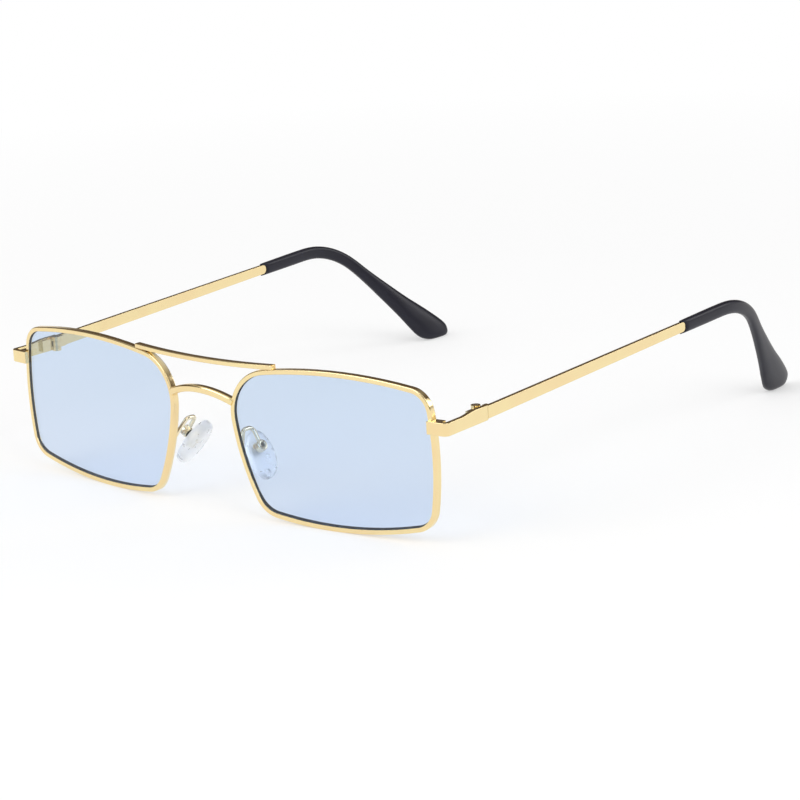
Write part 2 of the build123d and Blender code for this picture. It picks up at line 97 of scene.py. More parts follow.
class SunglassesFinishes(bpy.types.PropertyGroup):
    """Colours and finishes"""

    gold_colour: colour_setting("Gold", "Base colour of the plated metal", (0.925, 0.768, 0.422))
    gold_shade_colour: colour_setting(
        "Gold shade", "Colour of the more worn patches of the plating", (0.915, 0.705, 0.395)
    )
    # The pale gold on the pads' arms and cups is a painted highlight; the inserts' worn patches take the
    # same colour.
    pale_gold_colour: colour_setting(
        "Pale gold", "Colour of the thinner plating at the pads", (0.93, 0.86, 0.67)
    )
    # These settings place the pale painted highlight on the pads' arms and cups.
    pale_from: length_setting(
        "Pale from", "Y behind which the plating at the pads is thinner", -0.077
    )
    pale_reach: length_setting(
        "Pale reach", "How far from the middle the thinner plating reaches", 0.0157
    )
    pale_fade: length_setting("Pale fade", "Over what length the plating gets thinner", 0.001)
    gold_roughness: share_setting("Gold roughness", "Roughness of the polished plating", 0.16)
    screw_colour: colour_setting(
        "Screw", "Base colour of the plain metal screws", (0.62, 0.58, 0.52)
    )
    insert_colour: colour_setting(
        "Insert", "Base colour of the bright inserts in the pads", (0.95, 0.955, 0.96)
    )
    # The insert's shank in the cup is painted dark, as painted shade for the shade in the cup; these
    # settings give its colour and where it lies.
    shank_painted_shade_colour: colour_setting(
        "Dull shank", "Colour of the insert's shank in the cup", (0.16, 0.165, 0.16)
    )
    shank_painted_shade_place: point_setting(
        "Dull place", "Middle of the left cup, where the shank is dull", (0.01215, -0.07157, 0.01588)
    )
    shank_painted_shade_reach: length_setting("Dull reach", "How far from there the shank is dull", 0.00125)
    shank_painted_shade_fade: length_setting("Dull fade", "Over what length the shank gets bright", 0.0003)
    # The tint is deeper blue at the upper edge; the lighter lower tint is partly painted light,
    # lightened to offset the floor's shadow seen through the lens.
    lens_colour: colour_setting(
        "Lens", "Tint that light takes at each face of the lens", (0.668, 0.764, 0.914)
    )
    lens_upper_colour: colour_setting(
        "Lens, upper edge", "Tint at the lens's upper edge", (0.622, 0.738, 0.895)
    )
    # The lens edge's near-black colour is painted shade for the dark line at the lens's edge; its
    # lighter patches vary at random.
    painted_shade_lens_edge_colour: colour_setting(
        "Lens edge", "Colour of the lens's ground edge", (0.012, 0.016, 0.022)
    )
    painted_shade_lens_edge_worn_colour: colour_setting(
        "Lens edge, worn", "Lighter patches of the lens's ground edge", (0.03, 0.04, 0.05)
    )
    tip_colour: colour_setting("Tip", "Base colour of the black plastic tips", (0.006, 0.006, 0.014))
    tip_worn_colour: colour_setting(
        "Tip, worn", "Lighter patches of the plastic tips", (0.008, 0.008, 0.018)
    )
    tip_roughness: share_setting("Tip roughness", "Roughness of the plastic tips", 0.30)
    pad_colour: colour_setting("Silicone", "Tint of the clear silicone pads", (0.955, 0.965, 0.98))
    pad_cloud_colour: colour_setting(
        "Silicone, clouded", "Tint of the silicone's cloudier patches", (0.90, 0.925, 0.95)
    )
    pad_roughness: share_setting("Silicone roughness", "Roughness of the silicone's skin", 0.30)


class SunglassesStage(bpy.types.PropertyGroup):
    """Floor, light and camera"""

    azimuth: angle_setting(
        "Azimuth", "Camera's turn from the front towards the wearer's left", radians(40.73)
    )
    elevation: angle_setting("Elevation", "Camera's height angle above level", radians(15.28))
    roll: angle_setting("Roll", "Camera's turn about its own view", radians(-3.25))
    distance: FloatProperty(
        name="Distance", description="From the camera to the point it looks at", unit="LENGTH",
        min=0.1, default=0.7068,
    )
    target: point_setting("Target", "Point that the camera looks at", (0.0234, -0.0353, 0.0193))
    lens: FloatProperty(
        name="Focal length", description="Camera's focal length in millimetres", min=1, default=134.37,
    )
    floor_size: FloatProperty(
        name="Floor size", description="Side of the square floor", unit="LENGTH", min=1, default=12.0,
    )
    floor_colour: colour_setting("Floor", "Colour of the floor", (0.93, 0.93, 0.93))
    shadow_share: share_setting(
        "Shadow share", "How much of the floor's brightness its shadows take", 0.6
    )
    room_strength: FloatProperty(
        name="Room light", description="Strength of the even light from the room", min=0, default=0.70,
    )
    lamp_power: FloatProperty(
        name="Lamp power", description="Power of the large soft lamp over the front", unit="POWER",
        min=0, default=14.0,
    )
    mirrored_tone: colour_setting(
        "Mirrored tone", "Warmer tone that drifts over the floor in polished metal", (1.0, 0.93, 0.85)
    )
    ceiling_colour: colour_setting(
        "Ceiling", "Colour that polished metal mirrors from above", (0.10, 0.075, 0.055)
    )
    overhead_colour: colour_setting(
        "Overhead", "Colour that polished metal mirrors from right above", (0.8, 0.8, 0.8)
    )


class SunglassesRims(bpy.types.PropertyGroup):
    """Rims and lenses"""

    plane_y: length_setting("Rim plane", "Y of the rims' front plane on the middle line", -0.0753)
    nose_line_x: length_setting("Nose line", "From the middle to the opening's nose edge", 0.0115)
    wrap: angle_setting("Wrap", "Turn of each rim towards the temple", radians(5.8))
    opening_width: length_setting("Opening width", "Width that the corner shares refer to", 0.054)
    opening_height: length_setting("Opening height", "Height that the corner shares refer to", 0.035)
    bottom_bow: length_setting("Bottom bow", "How far the lower side bows out", 0.00254)
    temple_side_bow: length_setting("Temple side bow", "How far the outer side bows out", 0.00153)
    top_bow: length_setting("Top bow", "How far the upper side bows out", 0.00245)
    nose_side_bow: length_setting("Nose side bow", "How far the inner side bows out", 0.00219)
    nose_bottom_radius: length_setting("Lower nose corner", "Corner radius", 0.0063)
    temple_bottom_radius: length_setting("Lower temple corner", "Corner radius", 0.0053)
    temple_top_radius: length_setting("Upper temple corner", "Corner radius", 0.0049)
    nose_top_radius: length_setting("Upper nose corner", "Corner radius", 0.0102)
    width: length_setting("Rim width", "Width of the rim wire seen from the front", 0.0011)
    depth: length_setting("Rim depth", "Depth of the rim wire", 0.0018)
    outer_round: length_setting("Outer round", "Round along the rim's outer edges", 0.00025)
    inner_round: length_setting("Inner round", "Round along the rim's inner edges", 0.00006)
    groove_depth: length_setting("Groove depth", "Depth of the groove that holds the lens", 0.00045)
    groove_half_width: length_setting(
        "Groove half width", "Half the groove's width at its mouth", 0.0005
    )
    slit: length_setting("Slit", "Gap where the closing screw draws the rim together", 0.00015)
    slit_height: length_setting("Slit height", "Height of the slit over the floor", 0.0278)
    lens_thickness: length_setting("Lens thickness", "Thickness of the lens", 0.0015)
    lens_facet: length_setting(
        "Lens facet", "Width of the ground facet along the lens's lower back edge", 0.00028
    )
    lens_gap: length_setting("Lens gap", "Room between the lens and the rim", 0.00004)


class SunglassesBars(bpy.types.PropertyGroup):
    """Brow bar and bridge"""

    brow_half_length: length_setting(
        "Brow bar half length", "From the middle to the bar's end", 0.022
    )
    brow_height: length_setting("Brow bar height", "Height of the bar's section", 0.0011)
    brow_depth: length_setting("Brow bar depth", "Depth of the bar's section", 0.00165)
    brow_round: length_setting("Brow bar round", "Round along the bar's edges", 0.00018)
    brow_end_round: length_setting("Brow bar end round", "Round at the bar's two ends", 0.0005)
    brow_seat: length_setting("Brow bar seat", "How deep the bar is soldered into the rim", 0.00012)
    brow_forward_bow: length_setting(
        "Brow bar bow", "How far the bar's middle stands forward", 0.0012
    )
    brow_dip: length_setting("Brow bar dip", "How far the bar's middle lies lower", 0.0005)
    bridge_height: length_setting("Bridge height", "Height of the bridge's section", 0.0017)
    bridge_depth: length_setting("Bridge depth", "Depth of the bridge's section", 0.002)
    bridge_round: length_setting("Bridge round", "Round along the bridge's edges", 0.00045)
    bridge_end: point_setting(
        "Bridge end", "End of the bridge's line, y from the rim plane", (0.0093, -0.0023, 0.0275)
    )
    bridge_rise: length_setting("Bridge rise", "How far the bridge's middle rises", 0.0021)
    bridge_forward_bow: length_setting(
        "Bridge bow", "How far the bridge's middle stands forward", 0.0011
    )
    bridge_sink: length_setting(
        "Bridge sink", "How deep the bridge's ends are soldered into the rims", 0.0003
    )


class SunglassesEndpieces(bpy.types.PropertyGroup):
    """Endpieces"""

    thickness: length_setting("Plate thickness", "Thickness of the bent plate", 0.0011)
    reach: length_setting("Plate reach", "From the rim's outer edge to the leg", 0.00438)
    bottom_z: length_setting("Lower edge", "Height of the plate's lower edge", 0.0263)
    top_z: length_setting("Upper edge", "Height of the plate's upper edge", 0.0293)
    leg_top_z: length_setting(
        "Leg's upper edge", "Height of the leg's upper edge at the hinge", 0.0298
    )
    rise_start: length_setting(
        "Rise start", "Where the upper edge starts to rise, from the rim plane", 0.0076
    )
    rise_end: length_setting(
        "Rise end", "Where the upper edge stops rising, from the rim plane", 0.0132
    )
    seam: length_setting("Seam", "Where the leg meets the temple, from the rim plane", 0.0172)
    corner_round: length_setting("Corner round", "Round of the plate's bent corner", 0.0012)
    inner_round: length_setting("Inner corner round", "Round inside the bent corner", 0.0004)
    edge_round: length_setting("Edge round", "Round along the plate's edges", 0.00012)


class SunglassesTemples(bpy.types.PropertyGroup):
    """Temples and tips"""

    inset: length_setting("Inset", "How far the temple lies inside the front's widest point", 0.0005)
    thickness: length_setting("Strip thickness", "Thickness of the temple's strip", 0.001)
    start_top_z: length_setting(
        "Start height", "Height of the strip's upper edge at the hinge", 0.02955
    )
    start_height: length_setting("Start width", "Width of the strip at the hinge", 0.00295)
    end_height: length_setting("End width", "Width of the strip at its rear end", 0.0024)
    end: length_setting("Strip end", "Where the strip ends, from the rim plane", 0.0938)
    end_middle_z: length_setting(
        "End middle", "Height of the strip's middle line at its end", 0.0305
    )
    edge_round: length_setting("Edge round", "Round along the strip's edges", 0.00018)
    seam_gap: length_setting("Seam gap", "Gap between the endpiece and the strip", 0.00005)
    tip_start: length_setting(
        "Tip start", "Where the plastic tip starts, from the rim plane", 0.0919
    )
    tip_bend: length_setting(
        "Tip bend", "Where the tip's two straight lines meet, from the rim plane", 0.1203
    )
    tip_bend_radius: length_setting("Tip bend radius", "Radius of the bend over the ear", 0.0229)
    tip_inset: length_setting("Tip inset", "How far the tip's end turns inwards", 0.0123)
    tip_end: length_setting("Tip end", "Y of the tip's end, from the rim plane", 0.152)
    tip_end_z: length_setting("Tip end height", "Height of the tip line's end", -0.0009)
    tip_width: length_setting("Tip width", "Width that the tip's width shares refer to", 0.0088)
    tip_thickness: length_setting(
        "Tip thickness", "Thickness that the tip's shares refer to", 0.0028
    )
    tip_twist: angle_setting("Tip twist", "Turn of the tip's paddle about its line", radians(9.5))
    foot_rear_round: length_setting("Rear foot round", "Round at the rear of the tip's foot", 0.002)
    foot_front_round: length_setting(
        "Front foot round", "Round at the front of the tip's foot", 0.0068
    )
    foot_edge_round: length_setting("Foot edge round", "Round along the foot's edges", 0.0009)


class SunglassesPads(bpy.types.PropertyGroup):
    """Nose pads, cups and arms"""

    centre: point_setting(
        "Pad centre", "Centre of the pad, y from the rim plane", (0.0104, 0.005, 0.0135)
    )
    frontal_angle: angle_setting("Frontal angle", "Pad's turn seen from the front", radians(36))
    splay: angle_setting("Splay", "Pad's turn seen from above", radians(4))
    lean: angle_setting("Lean", "Pad's turn seen from the side", radians(12))
    half_length: length_setting("Half length", "Half the pad's length", 0.0061)
    slide: length_setting("Slide", "How far the pad lies below the middle of its place", 0.0005)
    half_width: length_setting("Half width", "Half the pad's width", 0.0037)
    thickness: length_setting("Thickness", "Pad's thickness", 0.0027)
    face_round: length_setting("Face round", "Round along the face that rests on the nose", 0.0011)
    back_round: length_setting("Back round", "Round along the pad's back", 0.0007)
    crown: length_setting("Crown", "How far the face swells in its middle", 0.0002)
    box_place: point_setting(
        "Box place", "Centre of the pad box in the pad's own frame", (0.0006, -0.0013, -0.0028)
    )
    cup_radius: length_setting("Cup radius", "Outer radius of the pad's cup", 0.00135)
    cup_wall: length_setting("Cup wall", "Wall of the cup", 0.00033)
    cup_front: length_setting("Cup front", "From the cross screw to the cup's mouth", 0.00075)
    cup_back: length_setting("Cup back", "From the cross screw to the cup's floor", 0.001)
    cup_window: length_setting("Cup window", "Radius of the window in the cup's floor", 0.0006)
    cup_round: length_setting("Cup round", "Round at the cup's floor", 0.0003)
    cup_edge_round: length_setting("Cup edge round", "Round at the cup's mouth and window", 0.00014)
    box_grip: length_setting(
        "Box grip", "From the box's axis to where the arm ends in its wall", 0.0012
    )
    arm_radius: length_setting("Arm radius", "Radius of the arm's wire", 0.0005)
    arm_bend_radius: length_setting("Arm bend radius", "Radius of the arm's bends", 0.0013)
    arm_root_z: length_setting("Arm root height", "Height where the arm leaves the rim", 0.0149)
    arm_root_sink: length_setting(
        "Arm root sink", "How deep the arm is soldered into the rim", 0.00045
    )
    arm_root_back: length_setting(
        "Arm root depth", "How far behind the rim's front the arm starts", 0.0005
    )
    arm_first_bend: point_setting(
        "First bend", "Corner of the arm's first bend, y from the rim plane", (0.0093, 0.0012, 0.02)
    )
    arm_second_bend: point_setting(
        "Second bend", "Corner of the arm's second bend, y from the rim plane", (0.0093, 0.0043, 0.0199)
    )


WHITE = (1, 1, 1)
SCREW_ROUGHNESS = 0.26
INSERT_ROUGHNESS = 0.4
POLISH_GROUP = "handled_polish"
# Noise values between which a patch of the polish fades in, and how high the grain stands
PATCH_BAND = (0.35, 0.65)
GRAIN_DISTANCE = 0.0001
# How much of the second colour shows in a patch
WORN_SHARE = 0.6
CLOUD_SHARE = 0.3


class Shader:
    """Adds nodes to one node tree and joins their sockets by name."""

    def __init__(self, tree):
        self.tree = tree
        tree.nodes.clear()

    def node(self, kind, settings=None, **inputs):
        """A new node with its settings, and with values or links at its inputs."""
        node = self.tree.nodes.new(kind)
        for key, value in (settings or {}).items():
            setattr(node, key, value)
        for key, value in inputs.items():
            self.set(node, key.replace("_", " "), value)
        return node

    def set(self, node, socket, value):
        """Links an output to an input, or gives the input a value."""
        target = node.inputs[socket]
        if isinstance(value, bpy.types.NodeSocket):
            self.tree.links.new(value, target)
        elif hasattr(value, "__len__") and target.type == "RGBA" and len(value) == 3:
            target.default_value = (*value, 1)
        else:
            target.default_value = value

    def object_coordinates(self):
        return self.node("ShaderNodeTexCoord").outputs["Object"]

    def mirrored_place(self):
        """Object coordinates, with x counted from the middle to either side."""
        place = self.node("ShaderNodeSeparateXYZ", Vector=self.object_coordinates())
        return self.math("ABSOLUTE", place.outputs["X"]), place.outputs["Y"], place.outputs["Z"]

    def math(self, operation, a, b=0.0, clamp=False):
        node = self.node("ShaderNodeMath", {"operation": operation, "use_clamp": clamp})
        self.set(node, 0, a)
        self.set(node, 1, b)
        return node.outputs[0]

    def mix_colour(self, factor, a, b):
        node = self.node("ShaderNodeMix", {"data_type": "RGBA"})
        self.set(node, 0, factor)
        self.set(node, 6, a)
        self.set(node, 7, b)
        return node.outputs[2]

    def range(self, value, from_min, from_max, to_min, to_max):
        """The value moved from one range to another, and held at the ends."""
        node = self.node("ShaderNodeMapRange")
        for socket, number in enumerate((value, from_min, from_max, to_min, to_max)):
            self.set(node, socket, number)
        return node.outputs[0]

    def mix_shaders(self, factor, first, second):
        node = self.node("ShaderNodeMixShader")
        for socket, value in enumerate((factor, first.outputs[0], second.outputs[0])):
            self.set(node, socket, value)
        return node

    def noise(self, vector, scale, detail=2.0):
        """Soft noise from 0 to 1, finer with a larger scale."""
        node = self.node("ShaderNodeTexNoise", Vector=vector, Scale=scale, Detail=detail)
        return node.outputs["Fac"]

    def polish(self, **inputs):
        """The shared group that gives a surface its patches, roughness and normal."""
        return self.node("ShaderNodeGroup", {"node_tree": bpy.data.node_groups[POLISH_GROUP]}, **inputs)

    def patchy_colour(self, polish, clean, worn, share=1.0):
        """The clean colour, with a share of the worn one in the patches."""
        factor = polish.outputs["Patches"]
        if share < 1.0:
            factor = self.math("MULTIPLY", factor, share)
        return self.mix_colour(factor, tuple(clean), tuple(worn))

    def polished_surface(self, polish, **inputs):
        """A surface whose roughness and normal follow the polish."""
        surface = self.node("ShaderNodeBsdfPrincipled", **inputs)
        self.set(surface, "Roughness", polish.outputs["Roughness"])
        self.set(surface, "Normal", polish.outputs["Normal"])
        return surface


def new_group(name, inputs, outputs):
    """An empty shader group with named sockets, and the nodes at its two ends."""
    tree = bpy.data.node_groups.new(name, "ShaderNodeTree")
    shader = Shader(tree)
    for socket, kind, default in inputs:
        made = tree.interface.new_socket(socket, in_out="INPUT", socket_type=kind)
        made.default_value = default
    for socket, kind in outputs:
        tree.interface.new_socket(socket, in_out="OUTPUT", socket_type=kind)
    return shader, shader.node("NodeGroupInput"), shader.node("NodeGroupOutput")


def build_polish_group():
    """Fine unevenness of a handled surface: a mask of patches, a roughness and a normal."""
    shader, start, end = new_group(
        POLISH_GROUP,
        [
            ("Roughness", "NodeSocketFloat", 0.2),
            ("Spread", "NodeSocketFloat", 0.06),
            ("Patch Scale", "NodeSocketFloat", 400.0),
            ("Grain Scale", "NodeSocketFloat", 6000.0),
            ("Grain Height", "NodeSocketFloat", 0.02),
        ],
        [
            ("Patches", "NodeSocketFloat"),
            ("Roughness", "NodeSocketFloat"),
            ("Normal", "NodeSocketVector"),
        ],
    )
    place = shader.object_coordinates()
    patches = shader.noise(place, start.outputs["Patch Scale"], detail=3.0)
    mask = shader.range(patches, *PATCH_BAND, 0.0, 1.0)
    grain = shader.noise(place, start.outputs["Grain Scale"])
    mixed = shader.math("MULTIPLY", shader.math("SUBTRACT", mask, 0.5), start.outputs["Spread"])
    rough = shader.math("ADD", start.outputs["Roughness"], mixed, clamp=True)
    bump = shader.node("ShaderNodeBump", Height=grain, Strength=start.outputs["Grain Height"])
    shader.set(bump, "Distance", GRAIN_DISTANCE)
    shader.set(end, "Patches", mask)
    shader.set(end, "Roughness", rough)
    shader.set(end, "Normal", bump.outputs["Normal"])


def new_material(name):
    """An empty material, its nodes' maker and its output node."""
    material = bpy.data.materials.new(name)
    material.use_nodes = True
    shader = Shader(material.node_tree)
    output = shader.node("ShaderNodeOutputMaterial")
    return material, shader, output


def gold_metal(finishes):
    """Polished gold plating, paler on the pads' arms and cups as a painted highlight."""
    material, shader, output = new_material("gold_plating")
    polish = shader.polish(
        Roughness=finishes.gold_roughness, Spread=0.05, Patch_Scale=110.0, Grain_Scale=3000.0,
        Grain_Height=0.02,
    )
    colour = shader.patchy_colour(polish, finishes.gold_colour, finishes.gold_shade_colour, WORN_SHARE)
    # Painted highlight: behind the rims and near the middle, the plating turns pale gold
    aside, backwards, _ = shader.mirrored_place()
    behind_rims = shader.range(
        backwards, finishes.pale_from, finishes.pale_from + finishes.pale_fade, 0.0, 1.0
    )
    at_pads = shader.range(
        aside, finishes.pale_reach, finishes.pale_reach + finishes.pale_fade, 1.0, 0.0
    )
    pale = shader.math("MULTIPLY", behind_rims, at_pads)
    colour = shader.mix_colour(pale, colour, tuple(finishes.pale_gold_colour))
    surface = shader.polished_surface(polish, Base_Color=colour, Metallic=1.0)
    shader.set(output, "Surface", surface.outputs[0])
    return material


def turned_metal(name, roughness, clean_colour, worn_colour):
    """Plain turned metal: its material, its nodes' maker, its surface and its colour."""
    material, shader, output = new_material(name)
    polish = shader.polish(
        Roughness=roughness, Spread=0.10, Patch_Scale=900.0, Grain_Scale=9000.0, Grain_Height=0.08
    )
    colour = shader.patchy_colour(polish, clean_colour, worn_colour, WORN_SHARE)
    surface = shader.polished_surface(polish, Base_Color=colour, Metallic=1.0)
    shader.set(output, "Surface", surface.outputs[0])
    return material, shader, surface, colour


def screw_metal(finishes):
    """The screws' metal, a little glossier than the inserts'."""
    colours = (finishes.screw_colour, finishes.gold_shade_colour)
    return turned_metal("turned_screw", SCREW_ROUGHNESS, *colours)[0]


def insert_metal(finishes):
    """Bright in the pad, and painted dark where the shank stands in the cup, as painted shade."""
    material, shader, surface, colour = turned_metal(
        "bright_insert", INSERT_ROUGHNESS, finishes.insert_colour, finishes.pale_gold_colour
    )
    # Painted shade: the shank turns dark near the middle of the cup
    aside, backwards, height = shader.mirrored_place()
    place = shader.node("ShaderNodeCombineXYZ", X=aside, Y=backwards, Z=height)
    away = shader.node("ShaderNodeVectorMath", {"operation": "DISTANCE"})
    shader.set(away, 0, place.outputs[0])
    shader.set(away, 1, tuple(finishes.shank_painted_shade_place))
    shank_painted_shade = shader.range(
        away.outputs["Value"], finishes.shank_painted_shade_reach, finishes.shank_painted_shade_reach + finishes.shank_painted_shade_fade, 1.0, 0.0
    )
    shader.set(surface, "Base Color", shader.mix_colour(shank_painted_shade, colour, tuple(finishes.shank_painted_shade_colour)))
    return material


def clear_to_shadows(shader, surface, output, tint):
    """Lets lamp light through a clear piece, tinted, so that its shadow is as faint as a real one."""
    through = shader.node("ShaderNodeBsdfTransparent", Color=tint)
    shadow = shader.node("ShaderNodeLightPath").outputs["Is Shadow Ray"]
    shader.set(output, "Surface", shader.mix_shaders(shadow, surface, through).outputs[0])


def lens_glass(finishes):
    """Clear glass, a little deeper blue towards the upper edge, and lighter towards the lower edge
    partly as painted light that offsets the floor's shadow seen through it.
    """
    material, shader, output = new_material("blue_lens")
    low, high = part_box("lens_left")
    height = shader.node("ShaderNodeSeparateXYZ", Vector=shader.object_coordinates()).outputs["Z"]
    upper = shader.range(height, low.z, high.z, 0.0, 1.0)
    polish = shader.polish(
        Roughness=0.004, Spread=0.004, Patch_Scale=120.0, Grain_Scale=900.0, Grain_Height=0.0
    )
    # Painted light: the lower tint is lightened against the floor's shadow seen through the lens
    tint = shader.mix_colour(upper, tuple(finishes.lens_colour), tuple(finishes.lens_upper_colour))
    surface = shader.node(
        "ShaderNodeBsdfPrincipled", Base_Color=tint, Metallic=0.0, IOR=1.5, Transmission_Weight=1.0,
    )
    shader.set(surface, "Roughness", polish.outputs["Roughness"])
    clear_to_shadows(shader, surface, output, tint)
    return material


def painted_shade_lens_edge(finishes):
    """The lens's ground edge, painted near black: painted shade for the dark line that light bent at the
    edge and the shade in the groove give.
    """
    material, shader, output = new_material("ground_painted_shade_lens_edge")
    polish = shader.polish(
        Roughness=0.55, Spread=0.1, Patch_Scale=900.0, Grain_Scale=9000.0, Grain_Height=0.2
    )
    colour = shader.patchy_colour(polish, finishes.painted_shade_lens_edge_colour, finishes.painted_shade_lens_edge_worn_colour)
    surface = shader.polished_surface(
        polish, Base_Color=colour, Metallic=0.0, IOR=1.5, Specular_IOR_Level=0.2
    )
    shader.set(output, "Surface", surface.outputs[0])
    return material


def clear_silicone(finishes):
    """Soft clear silicone, a little cloudy in patches."""
    material, shader, output = new_material("clear_silicone")
    polish = shader.polish(
        Roughness=finishes.pad_roughness, Spread=0.08, Patch_Scale=500.0, Grain_Scale=3500.0,
        Grain_Height=0.0,
    )
    tint = shader.patchy_colour(polish, finishes.pad_colour, finishes.pad_cloud_colour, CLOUD_SHARE)
    surface = shader.polished_surface(
        polish, Base_Color=tint, Metallic=0.0, IOR=1.42, Transmission_Weight=0.8
    )
    clear_to_shadows(shader, surface, output, tint)
    return material


def black_plastic(finishes):
    """Satin black plastic with a fine grain."""
    material, shader, output = new_material("black_tip")
    polish = shader.polish(
        Roughness=finishes.tip_roughness, Spread=0.05, Patch_Scale=150.0, Grain_Scale=4200.0,
        Grain_Height=0.04,
    )
    colour = shader.patchy_colour(polish, finishes.tip_colour, finishes.tip_worn_colour)
    surface = shader.polished_surface(
        polish, Base_Color=colour, Metallic=0.0, IOR=1.45, Specular_IOR_Level=0.4
    )
    shader.set(output, "Surface", surface.outputs[0])
    return material


# The finishes once made, and what makes each: one per packed slot, then two with no slot of their own
MATERIALS = {}
MATERIAL_MAKERS = {
    "gold_metal": gold_metal,
    "screw_steel": screw_metal,
    "blue_lens": lens_glass,
    "black_tip": black_plastic,
    "clear_silicone": clear_silicone,
    "painted_shade_lens_edge": painted_shade_lens_edge,
    "pad_insert": insert_metal,
}


class SUNGLASSES_OT_make_finishes(bpy.types.Operator):
    """Make the finishes and put them on the packed pieces"""

    bl_idname = "sunglasses.make_finishes"
    bl_label = "Finishes"

    def execute(self, context):
        build_polish_group()
        finishes = context.scene.sunglasses_finishes
        for name, make in MATERIAL_MAKERS.items():
            MATERIALS[name] = make(finishes)
        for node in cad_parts.values():
            for material_slot in node.material_slots:
                material_slot.material = MATERIALS[material_slot.material.name]
        for side in SIDES:
            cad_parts[f"pad_insert_{side}"].material_slots[0].material = MATERIALS["pad_insert"]
        return {"FINISHED"}


# The opening's corners as shares of its width and height, anticlockwise from the lower nose corner
CORNER_SHARES = ((-0.393, -0.443), (0.446, -0.381), (0.446, 0.464), (-0.536, 0.430))
# The tip's sections: share of its line, share of its width, share of its thickness
TIP_SHARES = (
    (0.0, 0.368, 0.64), (0.06, 0.376, 0.70), (0.15, 0.383, 0.745), (0.27, 0.378, 0.755),
    (0.38, 0.374, 0.77), (0.47, 0.366, 0.79), (0.55, 0.378, 0.82), (0.61, 0.438, 0.85),
    (0.667, 0.525, 0.88), (0.73, 0.62, 0.91), (0.788, 0.73, 0.95), (0.831, 0.85, 0.98),
    (0.874, 0.95, 1.0), (0.918, 1.03, 1.0), (0.96, 1.09, 1.0), (1.0, 1.06, 0.97),
)
# Where the paddle's twist starts and ends, as shares of the tip's line
TWIST_START_SHARE = 0.5
TWIST_END_SHARE = 0.85
# The tip's rings: how many stand square to its line, how many points each has, and the first one's place
TIP_RING_COUNT = 24
TIP_FIRST_RING = 0.0024
# Before the floor, the rings lean over from square to level between these distances along the line
LEAN_START = 0.0118
LEAN_END = 0.0062
LEAN_SHARES = (0.25, 0.5, 0.75)
# Where a leaning ring ends is found in this many steps
REACH_STEPS = 8
# The foot's level rings: the height of the top one, and of each as a share of that
FOOT_HEIGHT = 0.0041
FOOT_HEIGHT_SHARES = (1.0, 0.76, 0.54, 0.34, 0.18, 0.07, 0.015, 0.0)
# Points round a tip's or pad's ring, and how full their ovals are, where 2 is an ellipse
RING_POINTS = 48
TIP_FULLNESS = 2.6
PAD_FULLNESS = 2.0
# Insets of the rings on the pad's flat back and crowned face
FLAT_INSETS = (0.0033, 0.0026, 0.0019)
# Height below the opening's middle where the lens's facet starts, and over which it widens
FACET_START_SHARE = 0.33
FACET_FADE_SHARE = 0.04
# The strip's rear end is this share of a full round, so that its two rounds don't quite meet
FULL_ROUND_SHARE = 0.998
# Steps of the opening's corner arcs, and of its side arcs, whose radius is over the least one
CORNER_STEP = radians(4)
SIDE_STEP = radians(1.5)
LEAST_SIDE_RADIUS = 0.02
# Steps of the bars' arch, of rounds, of the endpieces' rise, of the cups' turn and of the arms' bends
ARCH_STEPS = 48
ROUND_STEPS = 5
RISE_STEPS = 12
CUP_STEPS = 40
BEND_STEPS = 12
# Sides of the arms' round wire
WIRE_SIDES = 24
# A face lies across a direction, or is a bar's end, when its normal's share along it is over these
FLAT_SHARE = 0.99
END_SHARE = 0.9
# Edges that turn more than these are rounded off, or shaded as sharp
ROUNDED_ANGLE = radians(30)
SHARP_ANGLE = radians(38)
# Points closer than these are one
MERGE_DISTANCE = 1e-7
WELD_DISTANCE = 1e-6
# How strongly broad faces lead the normals at their rounds
NORMALS_WEIGHT = 80


def side_circle(start, end, bow):
    """Centre and radius of the side that bows out by bow between two corners."""
    chord = end - start
    radius = (chord.length_squared / 4 + bow**2) / (2 * bow)
    outward = Vector((chord.y, -chord.x)).normalized()
    return (start + end) / 2 - outward * (radius - bow), radius


def corner_centre(corner, before, after, radius):
    """Centre of the corner circle that touches the two side circles from inside."""
    span = after[0] - before[0]
    reach_before = before[1] - radius
    reach_after = after[1] - radius
    along = (reach_before**2 - reach_after**2 + span.length_squared) / (2 * span.length)
    across = sqrt(reach_before**2 - along**2)
    forward = span.normalized()
    sideways = Vector((-forward.y, forward.x))
    foot = before[0] + forward * along
    return min(foot + sideways * across, foot - sideways * across, key=lambda p: (p - corner).length)


def angle_to(direction):
    """Angle of a flat direction, anticlockwise from x."""
    return atan2(direction.y, direction.x)


